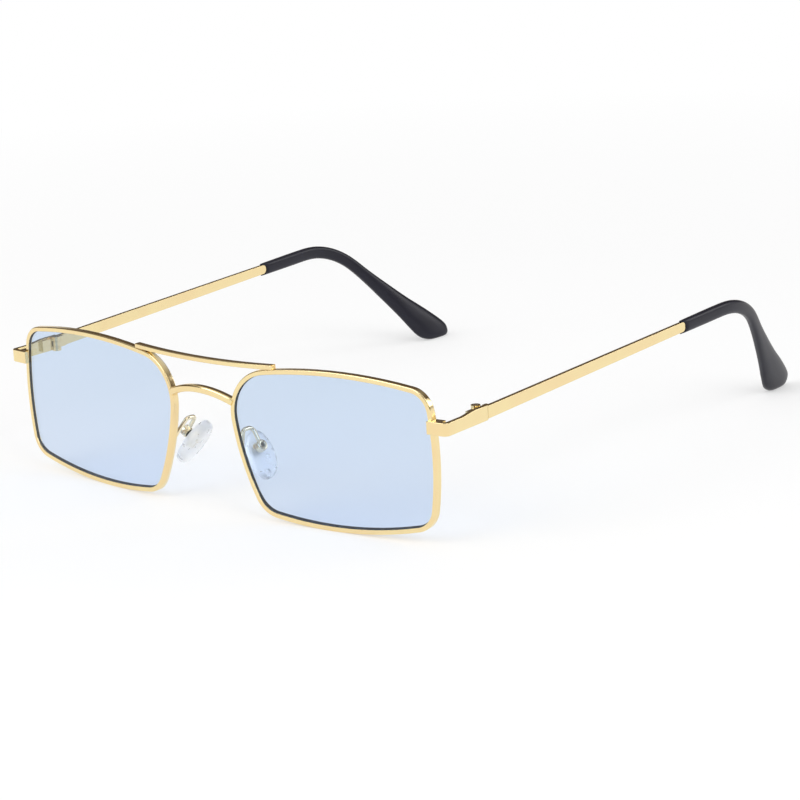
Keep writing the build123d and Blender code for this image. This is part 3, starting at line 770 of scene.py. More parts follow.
class Opening:
    """The lens opening as tangent arcs, and the rim's own frame (x along it, y up, z forwards)."""

    def __init__(self, rims):
        corners = [Vector((rims.opening_width * u, rims.opening_height * v)) for u, v in CORNER_SHARES]
        bows = (rims.bottom_bow, rims.temple_side_bow, rims.top_bow, rims.nose_side_bow)
        self.radii = (
            rims.nose_bottom_radius, rims.temple_bottom_radius,
            rims.temple_top_radius, rims.nose_top_radius,
        )
        self.sides = [side_circle(corners[i], corners[(i + 1) % 4], bows[i]) for i in range(4)]
        self.centres = [
            corner_centre(corners[i], self.sides[i - 1], self.sides[i], self.radii[i]) for i in range(4)
        ]
        self.centre_x = rims.nose_line_x + rims.opening_width / 2
        self.centre_z = self.sides[0][1] + rims.width - self.sides[0][0].y
        self.run = Vector((cos(rims.wrap), sin(rims.wrap), 0))
        self.forward = Vector((sin(rims.wrap), -cos(rims.wrap), 0))
        turn = Matrix((self.run, Vector((0, 0, 1)), self.forward)).transposed().to_4x4()
        self.place = Matrix.Translation((self.centre_x, rims.plane_y, self.centre_z)) @ turn
        self.split_v = rims.slit_height - self.centre_z
        temple_side, radius = self.sides[1]
        self.inner_u = temple_side.x + sqrt(radius**2 - (self.split_v - temple_side.y) ** 2)
        self.outer_u = self.inner_u + rims.width

    def arcs(self):
        """(centre, radius, start angle, turn) of each arc, anticlockwise from the lower nose corner."""
        found = []
        for i in range(4):
            arrive = angle_to(self.centres[i] - self.sides[i - 1][0])
            leave = angle_to(self.centres[i] - self.sides[i][0])
            onward = angle_to(self.centres[(i + 1) % 4] - self.sides[i][0])
            found.append((self.centres[i], self.radii[i], arrive, (leave - arrive) % tau))
            found.append((self.sides[i][0], self.sides[i][1], leave, (onward - leave) % tau))
        return found

    def arcs_from_slit(self, slit):
        """The same arcs, cut open at the slit: from its upper edge round to its lower edge."""
        arcs = self.arcs()
        centre, radius, start, turn = arcs[3]
        upper = asin((self.split_v + slit / 2 - centre.y) / radius)
        lower = asin((self.split_v - slit / 2 - centre.y) / radius)
        first = (centre, radius, upper, (start + turn - upper) % tau)
        last = (centre, radius, start, (lower - start) % tau)
        return [first] + arcs[4:] + arcs[:3] + [last]


def polygon(shape, points):
    """A face through a few points."""
    return shape.faces.new([shape.verts.new(point) for point in points])


def round_off(shape, items, radius, segments, affect):
    """Rounds off the given verts or edges of a shape."""
    bmesh.ops.bevel(
        shape, geom=list(items), offset=radius, offset_type="OFFSET", segments=segments, profile=0.5,
        affect=affect, material=-1, clamp_overlap=True,
    )


def round_corners(shape, verts, radius, segments):
    """Rounds corners of a flat outline."""
    round_off(shape, verts, radius, segments, "VERTICES")


def round_edges(shape, edges, radius, segments):
    """Rounds edges of a solid."""
    round_off(shape, edges, radius, segments, "EDGES")


def of_kind(items, kind):
    """Those items that are of one kind."""
    return [item for item in items if isinstance(item, kind)]


def spin(shape, edges, centre, axis, angle, steps, merge=False):
    """Spins edges about an axis, merges the ends of a full turn and returns the last edges."""
    verts = {vert for edge in edges for vert in edge.verts}
    made = bmesh.ops.spin(
        shape, geom=list(verts) + list(edges), cent=centre, axis=axis, dvec=(0, 0, 0), angle=angle,
        space=Matrix(), steps=steps, use_merge=merge, use_normal_flip=False, use_duplicate=False,
    )
    return of_kind(made["geom_last"], bmesh.types.BMEdge)


def extrude_edges(shape, edges, matrix):
    """Extrudes edges, moves the new ones by a matrix and returns them."""
    made = bmesh.ops.extrude_edge_only(shape, edges=edges)["geom"]
    verts = of_kind(made, bmesh.types.BMVert)
    bmesh.ops.transform(shape, matrix=matrix, space=Matrix(), verts=verts)
    return of_kind(made, bmesh.types.BMEdge)


def thicken(shape, offset):
    """Extrudes a shape's only face by an offset into a solid."""
    made = bmesh.ops.extrude_face_region(shape, geom=shape.faces[:])["geom"]
    bmesh.ops.translate(shape, vec=offset, verts=of_kind(made, bmesh.types.BMVert))


def spin_round_opening(shape, edges, arcs):
    """Spins section edges along the opening's arcs and returns the edges at the far end."""
    for centre, radius, _, turn in arcs:
        step = SIDE_STEP if radius > LEAST_SIDE_RADIUS else CORNER_STEP
        steps = max(2, round(turn / step))
        edges = spin(shape, edges, (centre.x, centre.y, 0), (0, 0, 1), turn, steps)
    return edges


def section_place(arc):
    """Frame of a section at an arc's start: x outwards, y forwards, in the rim's own frame."""
    centre, radius, start = arc[:3]
    outward = Vector((cos(start), sin(start), 0))
    forward = Vector((0, 0, 1))
    turn = Matrix((outward, forward, outward.cross(forward))).transposed().to_4x4()
    return Matrix.Translation(centre.to_3d() + outward * radius) @ turn


def finish_piece(shape, name, slot_name, body, replaced):
    """Turns a shape into an object with its finish, riding on a body in place of a packed piece."""
    bmesh.ops.remove_doubles(shape, verts=shape.verts, dist=MERGE_DISTANCE)
    bmesh.ops.recalc_face_normals(shape, faces=shape.faces)
    mesh = bpy.data.meshes.new(name)
    shape.to_mesh(mesh)
    shape.free()
    mesh.polygons.foreach_set("use_smooth", [True] * len(mesh.polygons))
    mesh.set_sharp_from_angle(angle=SHARP_ANGLE)
    mesh.materials.append(MATERIALS[slot_name])
    piece = bpy.data.objects.new(name, mesh)
    bpy.context.scene.collection.objects.link(piece)
    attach(piece, body)
    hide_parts(replaced)
    return piece


def make_pair(shape, name, slot_name, bodies, node):
    """Makes the left piece from a shape and the right one from its mirror image."""
    pieces = []
    for side in SIDES:
        half = shape.copy()
        if side == "right":
            bmesh.ops.scale(half, vec=(-1, 1, 1), verts=half.verts)
        pieces.append(finish_piece(half, f"{name}_{side}", slot_name, bodies[side], f"{node}_{side}"))
    shape.free()
    return pieces


def weigh_normals(piece):
    """Keeps flat faces flat beside their rounds."""
    modifier = piece.modifiers.new("flat_faces", "WEIGHTED_NORMAL")
    modifier.keep_sharp = True
    modifier.weight = NORMALS_WEIGHT


class SUNGLASSES_OT_make_rims(bpy.types.Operator):
    """Make the two grooved rims, each from one edge of its slit round to the other"""

    bl_idname = "sunglasses.make_rims"
    bl_label = "Rims"

    def execute(self, context):
        rims = context.scene.sunglasses_rims
        opening = Opening(rims)
        arcs = opening.arcs_from_slit(rims.slit)
        shape = bmesh.new()
        middle_y = -rims.depth / 2
        place = section_place(arcs[0])
        points = (
            (0, 0), (rims.width, 0), (rims.width, -rims.depth), (0, -rims.depth),
            (0, middle_y - rims.groove_half_width), (rims.groove_depth, middle_y),
            (0, middle_y + rims.groove_half_width),
        )
        face = polygon(shape, [place @ Vector((x, y, 0)) for x, y in points])
        corners = list(face.verts)
        round_corners(shape, corners[1:3], rims.outer_round, segments=4)
        round_corners(shape, (corners[0], corners[3]), rims.inner_round, segments=2)
        end = spin_round_opening(shape, shape.edges[:], arcs)
        bmesh.ops.holes_fill(shape, edges=end, sides=0)
        bmesh.ops.transform(shape, matrix=opening.place, verts=shape.verts)
        for piece in make_pair(shape, "grooved_rim", "gold_metal", FRONT_BODIES, "rim"):
            weigh_normals(piece)
        return {"FINISHED"}


class SUNGLASSES_OT_make_lenses(bpy.types.Operator):
    """Make the two lenses with the bevelled edge that sits in the groove"""

    bl_idname = "sunglasses.make_lenses"
    bl_label = "Lenses"

    def execute(self, context):
        rims = context.scene.sunglasses_rims
        opening = Opening(rims)
        arcs = opening.arcs()
        place = section_place(arcs[0])
        front = (rims.lens_thickness - rims.depth) / 2
        middle_y = -rims.depth / 2
        shoulder = rims.groove_half_width - rims.lens_gap
        back = front - rims.lens_thickness
        points = (
            (-rims.lens_gap, front), (-rims.lens_gap, middle_y + shoulder),
            (rims.groove_depth - 2 * rims.lens_gap, middle_y), (-rims.lens_gap, middle_y - shoulder),
            (-rims.lens_gap, back + rims.lens_facet), (-rims.lens_gap, back),
        )
        shape = bmesh.new()
        verts = [shape.verts.new(place @ Vector((x, y, 0))) for x, y in points]
        edges = [shape.edges.new(pair) for pair in zip(verts, verts[1:])]
        spin_round_opening(shape, edges, arcs)
        bmesh.ops.remove_doubles(shape, verts=shape.verts, dist=WELD_DISTANCE)
        # The lower back edge draws in, which leaves the ground facet, a wider band that carries the
        # edge's painted shade
        for vert in shape.verts:
            if vert.co.z < back + rims.lens_facet / 2:
                share = -vert.co.y / rims.opening_height
                vert.co.y += rims.lens_facet * soft_step((share - FACET_START_SHARE) / FACET_FADE_SHARE)
        bmesh.ops.holes_fill(shape, edges=shape.edges, sides=0)
        bmesh.ops.transform(shape, matrix=opening.place, verts=shape.verts)
        shape.normal_update()
        # The flat front and back take the tint, and the other faces take the edge's painted shade
        for face in shape.faces:
            face.material_index = 0 if abs(face.normal.dot(opening.forward)) > FLAT_SHARE else 1
        for piece in make_pair(shape, "tinted_lens", "blue_lens", FRONT_BODIES, "lens"):
            piece.data.materials.append(MATERIALS["painted_shade_lens_edge"])
        return {"FINISHED"}


def dome_end(shape, face, radius, half_depth):
    """Rounds a bar's end: the face moves out in steps and draws in as it goes."""
    centre = face.calc_center_median()
    outward = face.normal.copy()
    size = 1
    for i in range(ROUND_STEPS):
        before, after = (radians(90) * k / (ROUND_STEPS + 0.5) for k in (i, i + 1))
        shrunk = 1 - (1 - cos(after)) * radius / half_depth
        face = bmesh.ops.extrude_discrete_faces(shape, faces=[face])["faces"][0]
        bmesh.ops.scale(
            shape, vec=[shrunk / size] * 3, space=Matrix.Translation(-centre), verts=face.verts[:]
        )
        step = outward * radius * (sin(after) - sin(before))
        bmesh.ops.translate(shape, vec=step, verts=face.verts[:])
        centre = centre + step
        size = shrunk


def arched_bar(end, forward_bow, rise, sink, depth, height, radius):
    """A bar of rounded section along an arc from the right side over the middle to the left."""
    start = Vector((-end.x, end.y, end.z))
    sag = Vector((0, -forward_bow, rise))
    arc_radius = (end.x**2 + sag.length_squared) / (2 * sag.length)
    centre = Vector((0, end.y, end.z)) + sag - sag.normalized() * arc_radius
    axis = (start - centre).cross(end - centre).normalized()
    tangent = axis.cross(start - centre).normalized()
    level = Vector((0, 0, 1)).cross(tangent).normalized()
    upward = tangent.cross(level)
    shape = bmesh.new()
    corners = [
        start + level * (x * depth / 2) + upward * (y * height / 2)
        for x, y in ((-1, -1), (1, -1), (1, 1), (-1, 1))
    ]
    face = polygon(shape, corners)
    round_corners(shape, face.verts[:], radius, segments=4)
    lead = Matrix.Rotation(-sink / arc_radius, 4, axis)
    about_centre = Matrix.Translation(centre) @ lead @ Matrix.Translation(-centre)
    bmesh.ops.transform(shape, matrix=about_centre, verts=shape.verts)
    turn = (start - centre).angle(end - centre) + 2 * sink / arc_radius
    far_end = spin(shape, shape.edges[:], centre, axis, turn, ARCH_STEPS)
    bmesh.ops.holes_fill(shape, edges=far_end, sides=0)
    return shape


class SUNGLASSES_OT_make_bars(bpy.types.Operator):
    """Make the brow bar and the bridge"""

    bl_idname = "sunglasses.make_bars"
    bl_label = "Brow bar and bridge"

    def execute(self, context):
        rims = context.scene.sunglasses_rims
        bars = context.scene.sunglasses_bars
        opening = Opening(rims)
        bar_u = (bars.brow_half_length - opening.centre_x) / cos(rims.wrap)
        top_side, radius = opening.sides[2]
        rim_top = top_side.y + sqrt((radius + rims.width) ** 2 - (bar_u - top_side.x) ** 2)
        end = Vector((
            bars.brow_half_length,
            rims.plane_y + bar_u * sin(rims.wrap) + bars.brow_depth / 2,
            opening.centre_z + rim_top + bars.brow_height / 2 - bars.brow_seat,
        ))
        brow = arched_bar(
            end, bars.brow_forward_bow, -bars.brow_dip, -bars.brow_end_round, bars.brow_depth,
            bars.brow_height, bars.brow_round,
        )
        for face in [face for face in brow.faces if abs(face.normal.x) > END_SHARE]:
            dome_end(brow, face, bars.brow_end_round, bars.brow_depth / 2)
        weigh_normals(finish_piece(brow, "brow_wire", "gold_metal", FRONT_BODY, "brow_bar"))
        end = Vector(bars.bridge_end) + Vector((0, rims.plane_y, 0))
        bridge = arched_bar(
            end, bars.bridge_forward_bow, bars.bridge_rise, bars.bridge_sink, bars.bridge_depth,
            bars.bridge_height, bars.bridge_round,
        )
        weigh_normals(finish_piece(bridge, "bridge_wire", "gold_metal", FRONT_BODY, "bridge"))
        return {"FINISHED"}


def soft_step(share):
    """A share from 0 to 1 that starts and stops gently."""
    share = min(max(share, 0), 1)
    return share * share * (3 - 2 * share)


def crossing(start, direction, other_start, other_direction):
    """Where two level lines cross, seen from above."""
    offset = other_start - start
    cross = direction.x * other_direction.y - direction.y * other_direction.x
    step = (offset.x * other_direction.y - offset.y * other_direction.x) / cross
    return start + direction * step


def front_half_width(rims, endpieces, opening):
    """From the middle to the front's widest point, at the endpiece's bent corner."""
    return opening.centre_x + opening.outer_u * cos(rims.wrap) + endpieces.reach


class SUNGLASSES_OT_make_endpieces(bpy.types.Operator):
    """Make the bent plates that run from the rims back to the hinges"""

    bl_idname = "sunglasses.make_endpieces"
    bl_label = "Endpieces"

    def execute(self, context):
        rims = context.scene.sunglasses_rims
        endpieces = context.scene.sunglasses_endpieces
        temples = context.scene.sunglasses_temples
        opening = Opening(rims)
        run = opening.run.to_2d()
        forward = opening.forward.to_2d()
        half_width = front_half_width(rims, endpieces, opening)
        back_start = Vector((opening.centre_x, rims.plane_y)) + run * opening.inner_u
        front_start = back_start + forward * endpieces.thickness
        leg_outer = Vector((half_width - temples.inset, rims.plane_y + endpieces.seam))
        leg_run = (Vector((half_width, front_start.y + endpieces.corner_round)) - leg_outer).normalized()
        leg_inner = leg_outer + Vector((leg_run.y, -leg_run.x)) * endpieces.thickness
        outer_corner = crossing(front_start, run, leg_outer, leg_run)
        inner_corner = crossing(back_start, run, leg_inner, leg_run)
        plan = (front_start, outer_corner, leg_outer, leg_inner, inner_corner, back_start)
        shape = bmesh.new()
        face = polygon(shape, [(point.x, point.y, endpieces.bottom_z) for point in plan])
        corners = list(face.verts)
        round_corners(shape, corners[1:2], endpieces.corner_round, segments=10)
        round_corners(shape, corners[4:5], endpieces.inner_round, segments=6)
        thicken(shape, (0, 0, endpieces.top_z - endpieces.bottom_z))
        rise_start = rims.plane_y + endpieces.rise_start
        rise_length = endpieces.rise_end - endpieces.rise_start
        for i in range(RISE_STEPS + 1):
            bmesh.ops.bisect_plane(
                shape, geom=shape.verts[:] + shape.edges[:] + shape.faces[:], dist=MERGE_DISTANCE,
                plane_co=(0, rise_start + rise_length * i / RISE_STEPS, 0), plane_no=(0, 1, 0),
            )
        for vert in shape.verts:
            if vert.co.z > endpieces.top_z - WELD_DISTANCE:
                rise = soft_step((vert.co.y - rise_start) / rise_length)
                vert.co.z += (endpieces.leg_top_z - endpieces.top_z) * rise
        bmesh.ops.recalc_face_normals(shape, faces=shape.faces)
        edges = [edge for edge in shape.edges if edge.calc_face_angle(0) > ROUNDED_ANGLE]
        round_edges(shape, edges, endpieces.edge_round, segments=3)
        for piece in make_pair(shape, "bent_endpiece", "gold_metal", FRONT_BODIES, "endpiece"):
            weigh_normals(piece)
        return {"FINISHED"}


class TempleLine:
    """The straight middle line of the strip and the bent middle line of the tip."""

    def __init__(self, scene):
        rims = scene.sunglasses_rims
        temples = scene.sunglasses_temples
        endpieces = scene.sunglasses_endpieces
        opening = Opening(rims)
        self.outer_x = front_half_width(rims, endpieces, opening) - temples.inset
        self.middle_x = self.outer_x - temples.thickness / 2
        self.start_y = rims.plane_y + endpieces.seam
        self.end_y = rims.plane_y + temples.end
        self.start_z = temples.start_top_z - temples.start_height / 2
        self.slope = (temples.end_middle_z - self.start_z) / (self.end_y - self.start_y)
        tip_y = rims.plane_y + temples.tip_start
        bend_y = rims.plane_y + temples.tip_bend
        self.start = Vector((self.middle_x, tip_y, self.height(tip_y)))
        self.bend = Vector((self.middle_x, bend_y, self.height(bend_y)))
        self.end = Vector((
            self.outer_x - temples.tip_inset, rims.plane_y + temples.tip_end, temples.tip_end_z,
        ))
        self.inward = (self.bend - self.start).normalized()
        self.outward = (self.end - self.bend).normalized()
        self.turn = self.inward.angle(self.outward)
        self.radius = temples.tip_bend_radius
        self.tangent = self.radius * tan(self.turn / 2)
        self.run = (self.bend - self.start).length - self.tangent
        self.arc = self.radius * self.turn
        self.drop = (self.end - self.bend).length - self.tangent
        self.length = self.run + self.arc + self.drop
        self.twist = temples.tip_twist

    def height(self, y):
        """Height of the strip's middle line at y."""
        return self.start_z + self.slope * (y - self.start_y)

    def frame(self, distance):
        """Frame of a section of the tip: x inwards across it, y up its width, z along the line."""
        if distance < self.run:
            point, direction = self.start + self.inward * distance, self.inward
        elif distance > self.run + self.arc:
            left = self.length - distance
            point, direction = self.end - self.outward * left, self.outward
        else:
            turned = Matrix.Rotation(
                (distance - self.run) / self.radius, 4, self.inward.cross(self.outward)
            )
            bend_start = self.bend - self.inward * self.tangent
            towards_centre = (self.outward - self.inward * cos(self.turn)).normalized()
            centre = bend_start + towards_centre * self.radius
            point = centre + turned @ (bend_start - centre)
            direction = turned @ self.inward
        upward = Vector((0, -direction.z, direction.y)).normalized()
        across = upward.cross(direction)
        turn = Matrix((across, upward, direction)).transposed().to_4x4()
        step = (distance / self.length - TWIST_START_SHARE) / (TWIST_END_SHARE - TWIST_START_SHARE)
        return Matrix.Translation(point) @ turn @ Matrix.Rotation(self.twist * soft_step(step), 4, "Z")


class SUNGLASSES_OT_make_temples(bpy.types.Operator):
    """Make the tapered gold strips with their full round rear ends"""

    bl_idname = "sunglasses.make_temples"
    bl_label = "Temple strips"

    def execute(self, context):
        temples = context.scene.sunglasses_temples
        line = TempleLine(context.scene)
        start_y = line.start_y + temples.seam_gap
        start_half = temples.start_height / 2
        end_half = temples.end_height / 2
        shape = bmesh.new()
        face = polygon(shape, (
            (line.outer_x, start_y, line.height(start_y) - start_half),
            (line.outer_x, line.end_y, line.height(line.end_y) - end_half),
            (line.outer_x, line.end_y, line.height(line.end_y) + end_half),
            (line.outer_x, start_y, line.height(start_y) + start_half),
        ))
        rear = [vert for vert in face.verts if vert.co.y > 0]
        round_corners(shape, rear, end_half * FULL_ROUND_SHARE, segments=12)
        thicken(shape, (-temples.thickness, 0, 0))
        bmesh.ops.recalc_face_normals(shape, faces=shape.faces)
        broad = [face for face in shape.faces if abs(face.normal.x) > FLAT_SHARE]
        edges = {edge for face in broad for edge in face.edges}
        round_edges(shape, edges, temples.edge_round, segments=4)
        for piece in make_pair(shape, "gold_strip", "gold_metal", TEMPLE_BODIES, "temple"):
            weigh_normals(piece)
        return {"FINISHED"}


def oval(thickness, width, fullness):
    """Points round an oval, x across its thickness and y along its width, both ways alike."""
    points = []
    for i in range(RING_POINTS):
        angle = tau * (i + 0.5) / RING_POINTS
        x, y = sin(angle), cos(angle)
        x = copysign(abs(x) ** (2 / fullness), x)
        y = copysign(abs(y) ** (2 / fullness), y)
        points.append(Vector((x * thickness / 2, y * width / 2, 0)))
    return points


def join_rings(shape, rings):
    """Joins rings of points with bands of faces and returns the two end rings of verts."""
    loops = [[shape.verts.new(point) for point in ring] for ring in rings]
    edges = [[shape.edges.new(pair) for pair in zip(loop, loop[1:] + loop[:1])] for loop in loops]
    for lower, upper in zip(edges, edges[1:]):
        bmesh.ops.bridge_loops(shape, edges=lower + upper)
    return loops[0], loops[-1]


def close_across(shape, ring):
    """Closes an oval ring with faces across its thickness."""
    for i in range(len(ring) // 2 - 1):
        shape.faces.new((ring[i], ring[i + 1], ring[-i - 2], ring[-i - 1]))


def between(low, high, share):
    """The value at a share of the way from low to high."""
    return low + (high - low) * share


class SUNGLASSES_OT_make_tips(bpy.types.Operator):
    """Make the black tips, from the mouth round the strip's end to the rounded foot"""

    bl_idname = "sunglasses.make_tips"
    bl_label = "Tips"

    def execute(self, context):
        temples = context.scene.sunglasses_temples
        line = TempleLine(context.scene)
        floor_distance = line.length - temples.tip_end_z / line.outward.z
        lean_start = floor_distance - LEAN_START
        rings = [self.mouth_ring(temples, line)]
        for i in range(TIP_RING_COUNT):
            distance = between(TIP_FIRST_RING, lean_start, i / (TIP_RING_COUNT - 1))
            rings.append(self.ring(temples, line, distance, 0))
        for share in LEAN_SHARES:
            distance = between(lean_start, floor_distance - LEAN_END, share)
            rings.append(self.ring(temples, line, distance, share))
        for share in FOOT_HEIGHT_SHARES:
            rings.append(self.foot_ring(temples, line, floor_distance, share * FOOT_HEIGHT))
        shape = bmesh.new()
        for ring in join_rings(shape, rings):
            close_across(shape, ring)
        for piece in make_pair(shape, "plastic_tip", "black_tip", TEMPLE_BODIES, "temple_tip"):
            modifier = piece.modifiers.new("smooth", "SUBSURF")
            modifier.levels = 1
            modifier.render_levels = 1
        return {"FINISHED"}

    def sizes_at(self, temples, line, distance):
        """Width and thickness of the tip at a distance along its line."""
        share = min(max(distance / line.length, 0), 1)
        for before, after in zip(TIP_SHARES, TIP_SHARES[1:]):
            if share <= after[0]:
                step = (share - before[0]) / (after[0] - before[0])
                width_share = between(before[1], after[1], step)
                thickness_share = between(before[2], after[2], step)
                return temples.tip_width * width_share, temples.tip_thickness * thickness_share

    def leaning_frame(self, line, distance, lean):
        """Section frame that leans from square to the line, at 0, to level, at 1."""
        place = line.frame(distance)
        across, upward, direction = (place.col[i].to_3d() for i in range(3))
        across = across - direction * (across.z / direction.z) * lean
        upward = upward - direction * (upward.z / direction.z) * lean
        turn = Matrix((across, upward, direction)).transposed().to_4x4()
        return Matrix.Translation(place.translation) @ turn

    def reach(self, temples, line, distance, lean, side):
        """Half width towards one side of a leaning section, as wide as the tip is where it ends."""
        upward, direction = (line.frame(distance).col[i].to_3d() for i in (1, 2))
        half = 0
        for _ in range(REACH_STEPS):
            end = distance - side * half * lean * upward.z / direction.z
            half = self.sizes_at(temples, line, end)[0] / 2
        return half

    def placed_oval(self, place, thickness, low, high):
        """An oval ring in a section's frame, from low to high across the tip's width."""
        middle = Vector((0, (high + low) / 2, 0))
        return [place @ (point + middle) for point in oval(thickness, high - low, TIP_FULLNESS)]

    def ring(self, temples, line, distance, lean):
        """A ring of the tip that leans over by a share."""
        high = self.reach(temples, line, distance, lean, 1)
        low = -self.reach(temples, line, distance, lean, -1)
        thickness = self.sizes_at(temples, line, distance)[1]
        return self.placed_oval(self.leaning_frame(line, distance, lean), thickness, low, high)

    def mouth_ring(self, temples, line):
        """The tip's first ring, hollowed to the full round of the strip's end."""
        width, thickness = self.sizes_at(temples, line, 0)
        half = temples.end_height / 2
        centre = temples.end - half - temples.tip_start
        place = line.frame(0)
        points = oval(thickness, width, TIP_FULLNESS)
        for point in points:
            if abs(point.y) < half:
                point.z = centre + sqrt(half**2 - point.y**2)
        return [place @ point for point in points]

    def side_point(self, temples, line, floor_distance, height, side):
        """Where one side of the unrounded foot stands at a height over the floor."""
        distance = floor_distance + height / line.outward.z
        half = self.reach(temples, line, distance, 1, side)
        return self.leaning_frame(line, distance, 1) @ Vector((0, side * half, 0))

    def foot_ring(self, temples, line, floor_distance, height):
        """A level ring of the foot, drawn in by the rounds at its rear, front and edges."""
        distance = floor_distance + height / line.outward.z
        place = self.leaning_frame(line, distance, 1)
        level = place.col[1].to_3d()
        sides = []
        for side, radius in ((-1, temples.foot_front_round), (1, temples.foot_rear_round)):
            base, top = (
                self.side_point(temples, line, floor_distance, step, side) for step in (0, FOOT_HEIGHT)
            )
            angle = (top - base).angle(-side * level)
            trim = 0
            if height < radius * (1 + cos(angle)):
                round_part = sqrt(radius**2 - (height - radius) ** 2)
                trim = radius / tan(angle / 2) - round_part - height / tan(angle)
            half = self.reach(temples, line, distance, 1, side)
            sides.append(side * (half - trim / level.length))
        edge = temples.foot_edge_round
        edge_trim = edge - sqrt(edge**2 - (edge - height) ** 2) if height < edge else 0
        thickness = self.sizes_at(temples, line, distance)[1] - 2 * edge_trim
        return self.placed_oval(place, thickness, *sides)


def pad_frame(rims, pads):
    """The pad's own frame: x up the pad, y back across it, z out of its nose side."""
    turn = (
        Matrix.Rotation(-pads.splay, 3, "Z")
        @ Matrix.Rotation(-pads.frontal_angle, 3, "Y")
        @ Matrix.Rotation(-pads.lean, 3, "X")
    )
    upward = turn @ Vector((0, 0, 1))
    outward = turn @ Vector((-1, 0, 0))
    turn = Matrix((upward, outward.cross(upward), outward)).transposed().to_4x4()
    return Matrix.Translation(Vector(pads.centre) + Vector((0, rims.plane_y, 0))) @ turn


def cup_frame(rims, pads):
    """The cup's frame, turned as the pad's, at the cross screw."""
    return pad_frame(rims, pads) @ Matrix.Translation(pads.box_place)


class SUNGLASSES_OT_make_pads(bpy.types.Operator):
    """Make the clear silicone pads with their crowned faces"""

    bl_idname = "sunglasses.make_pads"
    bl_label = "Nose pads"

    def execute(self, context):
        rims = context.scene.sunglasses_rims
        pads = context.scene.sunglasses_pads
        place = pad_frame(rims, pads)
        half = pads.thickness / 2
        levels = [(inset, -half) for inset in FLAT_INSETS]
        levels += self.round_levels(pads.back_round, -half + pads.back_round, -1)
        levels += self.round_levels(pads.face_round, half - pads.crown - pads.face_round, 1)
        for inset in reversed(FLAT_INSETS):
            levels.append((inset, half - pads.crown * (1 - inset / pads.half_width) ** 2))
        shape = bmesh.new()
        rings = [self.ring(pads, place, inset, z) for inset, z in levels]
        for ring in join_rings(shape, rings):
            close_across(shape, ring)
        make_pair(shape, "silicone_pad", "clear_silicone", PAD_BODIES, "nose_pad")
        return {"FINISHED"}

    def round_levels(self, radius, z, side):
        """Inset and height of the rings of a rounded edge, the lower ones first."""
        angles = [radians(90) * i / ROUND_STEPS for i in range(ROUND_STEPS + 1)]
        levels = [(radius * (1 - cos(angle)), z + side * radius * sin(angle)) for angle in angles]
        return levels if side > 0 else levels[::-1]

    def ring(self, pads, place, inset, z):
        """A ring at one height of the pad, drawn in from its outline."""
        points = oval(2 * (pads.half_width - inset), 2 * (pads.half_length - inset), PAD_FULLNESS)
        return [place @ Vector((point.y - pads.slide, point.x, z)) for point in points]


class SUNGLASSES_OT_make_pad_cups(bpy.types.Operator):
    """Make the turned cups that hold the pads, with a rounded lip and a window in the floor"""

    bl_idname = "sunglasses.make_pad_cups"
    bl_label = "Pad cups"

    def execute(self, context):
        rims = context.scene.sunglasses_rims
        pads = context.scene.sunglasses_pads
        inner = pads.cup_radius - pads.cup_wall
        floor = pads.cup_wall - pads.cup_back
        shape = bmesh.new()
        face = polygon(shape, (
            (pads.cup_window, 0, -pads.cup_back), (pads.cup_radius, 0, -pads.cup_back),
            (pads.cup_radius, 0, pads.cup_front), (inner, 0, pads.cup_front), (inner, 0, floor),
            (pads.cup_window, 0, floor),
        ))
        corners = list(face.verts)
        round_corners(shape, corners[1:2], pads.cup_round, segments=5)
        round_corners(shape, corners[:1] + corners[2:4], pads.cup_edge_round, segments=3)
        bmesh.ops.delete(shape, geom=shape.faces[:], context="FACES_ONLY")
        spin(shape, shape.edges[:], (0, 0, 0), (0, 0, 1), tau, CUP_STEPS, merge=True)
        bmesh.ops.transform(shape, matrix=cup_frame(rims, pads), verts=shape.verts)
        make_pair(shape, "pad_cup", "gold_metal", FRONT_BODIES, "pad_box")
        return {"FINISHED"}


